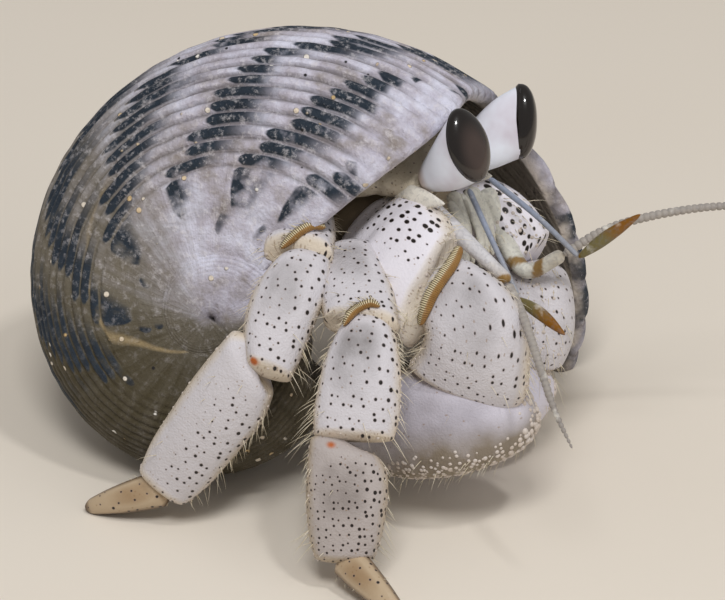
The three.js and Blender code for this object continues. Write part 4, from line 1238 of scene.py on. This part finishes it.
# %% Build the rolls
# The path of each roll in mm, and its half width.
COMBS = {
    "claw": (((5.3, 0.35, 13.93), (5.38, -0.43, 13.49), (5.29, -1.29, 12.98), (5.12, -2.02, 12.33),
              (5.07, -2.5, 11.71), (4.92, -2.71, 10.93)), 0.32),
    "front_leg": (((3.51, -4.02, 12.19), (3.05, -4.19, 12.3), (2.62, -4.61, 12.09), (2.55, -5.3, 11.94),
                   (2.5, -5.7, 11.6)), 0.22),
    "rear_leg": (((-0.95, -1.83, 14.17), (-1.37, -2.25, 14.36), (-1.74, -2.85, 14.2), (-2.0, -3.34, 13.9),
                  (-2.2, -3.9, 13.6)), 0.24),
}
COMB_SURFACES = {}


def pleats(share, angle, along):
    """mm outward: the folds, on the side that is seen."""
    return 0.035 * np.cos(2 * np.pi * along / PLEAT) * smooth(-0.2, 0.5, np.cos(angle))


for name, (points, half) in COMBS.items():
    across = (half * 0.7, half, half, half, half * 0.5)
    surface = limb_surface(points, across, (0.14, 0.2, 0.2, 0.14), OUT_RIGHT, squareness=2, flatness=2,
                           rings=220, sides=24, blunt=(0.3, 0.15), relief=pleats)
    COMB_SURFACES[f"comb_{name}"] = surface
    piece = grid_mesh(f"comb_membrane_{name}", surface["points"], "Plate", surface["uv"],
                      {"comb": smooth(-0.1, 0.3, surface["aside"])}, membrane)
    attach(piece, "root")
print(len(COMBS), "comb membranes")

# %% [markdown]
# ## Bristles
# Stiff pale bristles stand on the margins of every plate and point outwards and down it.
# Geometry Nodes scatters points over a coarse copy of the plates, thickest where the
# `hairy` number is high, and sets a thin three-sided cone on each, leaned along the
# plate's own lie. After the instances are realized, each cone is bent a little, more
# towards its tip. Each bristle keeps the place of its root in a map of the plates, so that
# its colours can be baked.

# %% Bristle material
chitin = mottled("pale gold bristles", 0.4, "#d9c8a3", "#f6f0e1", 800.0)[0]
PATCH = 0.0015  # share of the map's width that each bristle or knob takes in it
print("bristles of", chitin.name)


# %% Where the bristles stand
def node_group(name, sizes):
    """A Geometry Nodes tree with a geometry in and out, inputs for its sizes, and a seed."""
    tree = bpy.data.node_groups.new(name, "GeometryNodeTree")
    for way in ("INPUT", "OUTPUT"):
        tree.interface.new_socket("Geometry", in_out=way, socket_type="NodeSocketGeometry")
    for label in sizes:
        tree.interface.new_socket(label, in_out="INPUT", socket_type="NodeSocketFloat")
    tree.interface.new_socket("Seed", in_out="INPUT", socket_type="NodeSocketInt")
    return tree, tree.nodes.new("NodeGroupInput"), tree.nodes.new("NodeGroupOutput")


BRISTLES, given, result = node_group("bristles", ("Density", "Length", "Thickness", "Bend"))
tree, seed = BRISTLES, given.outputs["Seed"]
hairy, reach = (add(tree, "GeometryNodeInputNamedAttribute", {"Name": name}) for name in ("hairy", "reach"))
lie = add(tree, "GeometryNodeInputNamedAttribute", {"Name": "lie"}, data_type="FLOAT_VECTOR")
density = add(tree, "ShaderNodeMath", {0: given.outputs["Density"], 1: hairy}, operation="MULTIPLY")
scatter = add(tree, "GeometryNodeDistributePointsOnFaces",
              {"Mesh": given.outputs["Geometry"], "Density": density, "Seed": seed})
sway = add(tree, "FunctionNodeRandomValue", {0: (-0.45,) * 3, 1: (0.45,) * 3, "Seed": seed},
           data_type="FLOAT_VECTOR")
way = add(tree, "ShaderNodeVectorMath", {0: lie, 1: sway}, operation="ADD")
turn_to = add(tree, "FunctionNodeAlignRotationToVector", {"Vector": way}, axis="Z")
long = add(tree, "FunctionNodeRandomValue", {2: 0.35, 3: 1.0, "Seed": seed}, out=1, data_type="FLOAT")
for share in (given.outputs["Length"], reach):
    long = add(tree, "ShaderNodeMath", {0: long, 1: share}, operation="MULTIPLY")
scale = add(tree, "ShaderNodeCombineXYZ", {0: given.outputs["Thickness"], 1: given.outputs["Thickness"],
                                           2: long})
print(len(tree.nodes), "nodes scatter and lean the points")

# %% One cone on each point
cone = add(tree, "GeometryNodeMeshCone", {"Vertices": 3, "Side Segments": 3, "Radius Top": 0.12,
                                          "Radius Bottom": 1.0, "Depth": 1.0})
where = add(tree, "GeometryNodeInputPosition")
cone = add(tree, "GeometryNodeStoreNamedAttribute", {"Geometry": cone, "Name": "strand", "Value": where},
           data_type="FLOAT_VECTOR", domain="POINT")
points = add(tree, "GeometryNodeStoreNamedAttribute", {"Geometry": scatter, "Name": "long", "Value": long},
             data_type="FLOAT", domain="POINT")
placed = add(tree, "GeometryNodeInstanceOnPoints",
             {"Points": points, "Instance": cone, "Rotation": turn_to, "Scale": scale})
real = add(tree, "GeometryNodeRealizeInstances", {"Geometry": placed})
print(len(tree.nodes), "nodes with the cones")

# %% Bend and map of each bristle
strand, root = (
    add(tree, "GeometryNodeInputNamedAttribute", {"Name": name}, data_type="FLOAT_VECTOR")
    for name in ("strand", "Root")
)
drop = add(tree, "GeometryNodeInputNamedAttribute", {"Name": "long"})
parts = add(tree, "ShaderNodeSeparateXYZ", {0: strand}, out=None)
high = add(tree, "ShaderNodeMath", {0: parts.outputs[2], 1: 2.0}, operation="POWER")
for share in (high, given.outputs["Bend"]):
    drop = add(tree, "ShaderNodeMath", {0: share, 1: drop}, operation="MULTIPLY")
down = add(tree, "ShaderNodeCombineXYZ", {2: -1.0})
shift = add(tree, "ShaderNodeVectorMath", {0: down, "Scale": drop}, operation="SCALE")
bent = add(tree, "GeometryNodeSetPosition", {"Geometry": real, "Offset": shift})
patch = add(tree, "ShaderNodeCombineXYZ", {0: parts.outputs[0], 1: parts.outputs[2]})
patch = add(tree, "ShaderNodeVectorMath", {0: patch, "Scale": PATCH}, operation="SCALE")
baked = add(tree, "ShaderNodeVectorMath", {0: root, 1: patch}, operation="ADD")
mapped = add(tree, "GeometryNodeStoreNamedAttribute", {"Geometry": bent, "Name": "OFBake", "Value": baked},
             data_type="FLOAT2", domain="CORNER")
done = add(tree, "GeometryNodeSetMaterial", {"Geometry": mapped, "Material": chitin})
tree.links.new(done, result.inputs[0])
print("bristle tree:", len(tree.nodes), "nodes")


# %% Plates to grow on
def emitter(names, hairy_of, step=3):
    """One coarse mesh of several plates with hairiness, lie, reach and a Root map on it."""
    points, faces, hairy, lie, reach, uvs = [], [], [], [], [], []
    tiles = math.ceil(math.sqrt(len(names)))  # the Root map is a square of tiles, one for a plate
    base = 0
    for k, name in enumerate(names):
        surface = {**PLATES, **COMB_SURFACES, **PALP_SURFACES}[name]
        rows = slice(3, -3, step)  # nothing grows on the closed ends
        grid = surface["points"][rows, ::step]
        rings, sides = grid.shape[:2]
        amount, long = hairy_of(name, surface)
        centre = grid.mean(axis=1, keepdims=True)
        outward = unit(grid - centre)
        down = unit(np.gradient(centre, axis=0))
        points.append(place(grid).reshape(-1, 3))
        lie.append((outward * 0.9 + down * 0.8).reshape(-1, 3))
        hairy.append(amount[rows, ::step].ravel())
        reach.append(long[rows, ::step].ravel())
        corners, spread = grid_faces(rings, sides)
        faces.append(corners + base)
        base += rings * sides
        down_tile, across_tile = np.meshgrid(
            np.linspace(0.02, 0.98, rings), np.linspace(0.02, 0.98, sides + 1), indexing="ij")
        tile = np.stack([k % tiles + across_tile, k // tiles + down_tile], -1).reshape(-1, 2) / tiles
        uvs.append(tile[spread.reshape(-1)])
    mesh = bpy.data.meshes.new("emitter")
    mesh.from_pydata(np.concatenate(points).tolist(), [], np.concatenate(faces).tolist())
    mesh.uv_layers.new(name="Root").data.foreach_set("uv", np.concatenate(uvs).astype(np.float32).ravel())
    for key, values, kind, field in (("hairy", hairy, "FLOAT", "value"), ("reach", reach, "FLOAT", "value"),
                                     ("lie", lie, "FLOAT_VECTOR", "vector")):
        layer = mesh.attributes.new(key, kind, "POINT")
        layer.data.foreach_set(field, np.concatenate(values).astype(np.float32).ravel())
    thing = bpy.data.objects.new("emitter", mesh)
    bpy.context.scene.collection.objects.link(thing)
    return thing


print("plates to grow on:", len(PLATES))


# %% Grow a tree on the plates
def grow(name, source, tree, sizes, slot):
    """Runs a tree on an emitter and keeps the result as a plain mesh piece."""
    modifier = source.modifiers.new("grow", "NODES")
    modifier.node_group = tree
    for item in tree.interface.items_tree:
        if item.in_out == "INPUT" and item.name in sizes:
            modifier[item.identifier] = sizes[item.name]
    bpy.context.view_layer.update()
    mesh = bpy.data.meshes.new_from_object(source.evaluated_get(bpy.context.evaluated_depsgraph_get()))
    bpy.data.objects.remove(source)
    for layer in ("strand", "long", "hairy", "reach", "lie", "Root"):
        if layer in mesh.attributes:
            mesh.attributes.remove(mesh.attributes[layer])
    mesh.name = name
    spots = np.empty(len(mesh.vertices) * 3, np.float32)
    mesh.vertices.foreach_get("co", spots)
    spots[2::3] = np.maximum(spots[2::3], 0)  # nothing grows into the ground
    mesh.vertices.foreach_set("co", spots)
    mesh.shade_smooth()
    piece = bpy.data.objects.new(name, mesh)
    bpy.context.scene.collection.objects.link(piece)
    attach(piece, "root")
    triangles = sum(len(p.vertices) - 2 for p in mesh.polygons)
    print(f"{name}: {triangles} triangles, maps {[m.name for m in mesh.uv_layers]}")


# %% Bristles on the plates
def margins(name, surface):
    """How thickly and how long the bristles stand, most of all on a plate's margins."""
    u, v, w = surface["share"], surface["aside"], surface["outer"]
    part = name.split("_")[-1]
    edges = smooth(0.8, 0.97, np.abs(v)) + 1.4 * smooth(0.93, 0.985, u) * (w > -0.3)
    if part in ("palm", "finger"):
        edges = 0.8 * smooth(0.75, 0.95, np.abs(v))
    long = 0.5 + 0.3 * smooth(0.4, 0.9, u) + (0.35 * smooth(0.8, 0.95, u) if part == "carpus" else 0)
    if name == "leg_rear_right_propodus":
        edges = edges * smooth(0.3, -0.3, v)
    if name == "cheliped_right_merus":
        edges = edges + 1.2 * smooth(-0.5, -0.9, v) * smooth(0.75, 0.4, u)
        long = long + 0.3 * smooth(0.6, 0.2, u)
    if part == "dactyl":
        edges, long = 0.5 * edges * smooth(0.8, 0.5, u), 0.4 * long
    if part == "propodus":
        long = long * (1 - 0.5 * smooth(0.7, 1.0, u))
    return edges * smooth(0.02, 0.12, u) + 0.03 * (part != "dactyl"), long


# Points in a square metre where hairy is 1, and sizes in metres.
SIZES = {"Density": 3.4e6, "Length": 1.7 * MM, "Thickness": 0.024 * MM, "Bend": 0.2}
groups = {
    "bristles_claws": [n for n in PLATES if n.startswith("cheliped")],
    "bristles_right_legs": [n for n in PLATES if "right" in n and n.startswith("leg")],
    "bristles_left_legs": [n for n in PLATES if "left" in n and n.startswith("leg")],
}
for seed, (name, plates) in enumerate(groups.items()):
    grow(name, emitter(plates, margins), BRISTLES, {**SIZES, "Seed": seed + 3}, "seta")


# %% Bristles on the palps and combs
def on_tips(name, surface):
    """Brushes on the outer half of a palp."""
    return 6 * smooth(0.5, 0.9, surface["share"]), 0.3 + 0 * surface["share"]


def along_comb(name, surface):
    """A dense short fringe beside the pleats."""
    return smooth(0.55, 0.8, surface["aside"]) * 9, 0.35 + 0 * surface["share"]


grow("bristles_mouth", emitter(PALP_SURFACES, on_tips, 1), BRISTLES, {**SIZES, "Seed": 11}, "seta")
grow("bristles_combs", emitter(COMB_SURFACES, along_comb, 1), BRISTLES, {**SIZES, "Seed": 9}, "seta")

# %% [markdown]
# ## Tubercles
# The lower rim of each claw is set with rounded cream knobs 0.1 to 0.25 mm across, which
# give it a saw-toothed outline, and the plates' margins carry finer ones. They are made
# as the bristles are, with a low ball for each.

# %% Tubercle tree
knob_lime = mottled("cream tubercles", 0.35, "#dcd6d4", "#bfae9c", 900.0)[0]
KNOBS, given, result = node_group("tubercles", ("Density", "Size"))
tree, seed = KNOBS, given.outputs["Seed"]
knobs, reach = (add(tree, "GeometryNodeInputNamedAttribute", {"Name": name}) for name in ("hairy", "reach"))
density = add(tree, "ShaderNodeMath", {0: given.outputs["Density"], 1: knobs}, operation="MULTIPLY")
scatter = add(tree, "GeometryNodeDistributePointsOnFaces",
              {"Mesh": given.outputs["Geometry"], "Density": density, "Seed": seed}, out=None)
size = add(tree, "FunctionNodeRandomValue", {2: 0.45, 3: 1.0, "Seed": seed}, out=1, data_type="FLOAT")
for share in (given.outputs["Size"], reach):
    size = add(tree, "ShaderNodeMath", {0: size, 1: share}, operation="MULTIPLY")
low = add(tree, "ShaderNodeMath", {0: size, 1: 0.75}, operation="MULTIPLY")
scale = add(tree, "ShaderNodeCombineXYZ", {0: size, 1: size, 2: low})
ball = add(tree, "GeometryNodeMeshIcoSphere", {"Radius": 1.0, "Subdivisions": 2})
ball = add(tree, "GeometryNodeSetShadeSmooth", {"Geometry": ball})
where = add(tree, "GeometryNodeInputPosition")
ball = add(tree, "GeometryNodeStoreNamedAttribute", {"Geometry": ball, "Name": "strand", "Value": where},
           data_type="FLOAT_VECTOR", domain="POINT")
placed = add(tree, "GeometryNodeInstanceOnPoints",
             {"Points": scatter.outputs["Points"], "Instance": ball, "Scale": scale,
              "Rotation": scatter.outputs["Rotation"]})
real = add(tree, "GeometryNodeRealizeInstances", {"Geometry": placed})
strand, root = (
    add(tree, "GeometryNodeInputNamedAttribute", {"Name": name}, data_type="FLOAT_VECTOR")
    for name in ("strand", "Root")
)
patch = add(tree, "ShaderNodeVectorMath", {0: strand, "Scale": PATCH}, operation="SCALE")
baked = add(tree, "ShaderNodeVectorMath", {0: root, 1: patch}, operation="ADD")
mapped = add(tree, "GeometryNodeStoreNamedAttribute", {"Geometry": real, "Name": "OFBake", "Value": baked},
             data_type="FLOAT2", domain="CORNER")
done = add(tree, "GeometryNodeSetMaterial", {"Geometry": mapped, "Material": knob_lime})
tree.links.new(done, result.inputs[0])
print("tubercle tree:", len(tree.nodes), "nodes")


# %% Tubercles on the claws and plates
def knobby(name, surface):
    """How thickly and how large the knobs stand: on a claw's lower rim, a plate's margins."""
    u, v, w = surface["share"], surface["aside"], surface["outer"]
    if name.split("_")[-1] in ("palm", "finger"):
        return smooth(-0.45, -0.9, v) + 0.6 * smooth(0.2, 0.06, u), 1 + 0.6 * smooth(0.25, 0.08, u)
    return (0.35 * smooth(0.85, 0.98, np.abs(v)) + 0.8 * smooth(0.95, 0.985, u) * smooth(-0.4, 0, w),
            0.5 + 0.35 * smooth(0.94, 0.97, u) + 0.3 * smooth(0.9, 0.98, np.abs(v)))


claws = groups["bristles_claws"]
legs = [n for n in PLATES if n.startswith("leg") and not n.endswith("dactyl")]
for name, plates, density, size, seed, slot in (
    ("tubercles_claws", claws, 1.4e7, 0.13 * MM, 5, "claw"),
    ("tubercles_legs", legs, 9.0e6, 0.11 * MM, 6, "plate"),
):
    grow(name, emitter(plates, knobby), KNOBS, {"Density": density, "Size": size, "Seed": seed}, slot)

# %% [markdown]
# ## Floor and light
# The floor is a plain pale sheet. One large soft lamp above the camera models the forms,
# a small one sets the bright spots in the eyes, and a weak one fills from the right. An
# even world lights the rest, at a level where a colour renders about as it is written,
# and the camera sees a plain backdrop instead of it.

# %% Floor
floor_paint = mottled("plain pale floor", 0.8, "#e3d9cb", "#e9e1d5", 30.0)[0]
mesh = bpy.data.meshes.new("floor")
mesh.from_pydata([(-2, -2, 0), (2, -2, 0), (2, 2, 0), (-2, 2, 0)], [], [(0, 1, 2, 3)])
mesh.materials.append(floor_paint)
floor = bpy.data.objects.new("floor", mesh)
bpy.context.scene.collection.objects.link(floor)
print("floor:", *floor.dimensions)

# %% Lamps
right_way = Vector((math.cos(AZIMUTH), math.sin(AZIMUTH), 0))
up_way = towards_camera.cross(right_way).normalized()


def soft_lamp(name, way, distance, size, strength):
    """A square lamp whose light on a surface that faces it renders white paint as `strength`."""
    data = bpy.data.lights.new(name, "AREA")
    data.size = size
    data.energy = strength * math.pi**2 * distance**2
    lamp = bpy.data.objects.new(name, data)
    lamp.location = TARGET + way.normalized() * distance
    lamp.rotation_euler = (-way).to_track_quat("-Z", "Y").to_euler()
    bpy.context.scene.collection.objects.link(lamp)
    return lamp


LAMPS = {  # shares of up, right and towards the camera, metres away, size in metres, strength
    "key": ((0.9, -0.1, 1.5), 0.32, 0.1, 0.46),
    "sparkle": ((1.0, 0.45, 1.0), 0.32, 0.028, 0.19),
    "fill": ((0.2, 0.9, 0.8), 0.4, 0.3, 0.1),
}
for name, ((up, right, near), *sizes) in LAMPS.items():
    lamp = soft_lamp(name, up_way * up + right_way * right + towards_camera * near, *sizes)
    lamp.visible_glossy = name == "sparkle"  # only this one is mirrored in the eyes
print("lamps:", ", ".join(LAMPS))

# %% World
world = bpy.data.worlds.new("studio")
world.use_nodes = True
bpy.context.scene.world = world
tree = world.node_tree
lit = tree.nodes["Background"]
lit.inputs["Color"].default_value = colour("#f4f1ee")
lit.inputs["Strength"].default_value = 0.36
seen = add(tree, "ShaderNodeBackground", {"Color": colour("#d9d2c6"), "Strength": 0.8})
to_camera = add(tree, "ShaderNodeLightPath", out="Is Camera Ray")
either = add(tree, "ShaderNodeMixShader", {0: to_camera, 1: lit.outputs[0], 2: seen})
tree.links.new(either, tree.nodes["World Output"].inputs["Surface"])
print("world:", len(tree.nodes), "nodes")
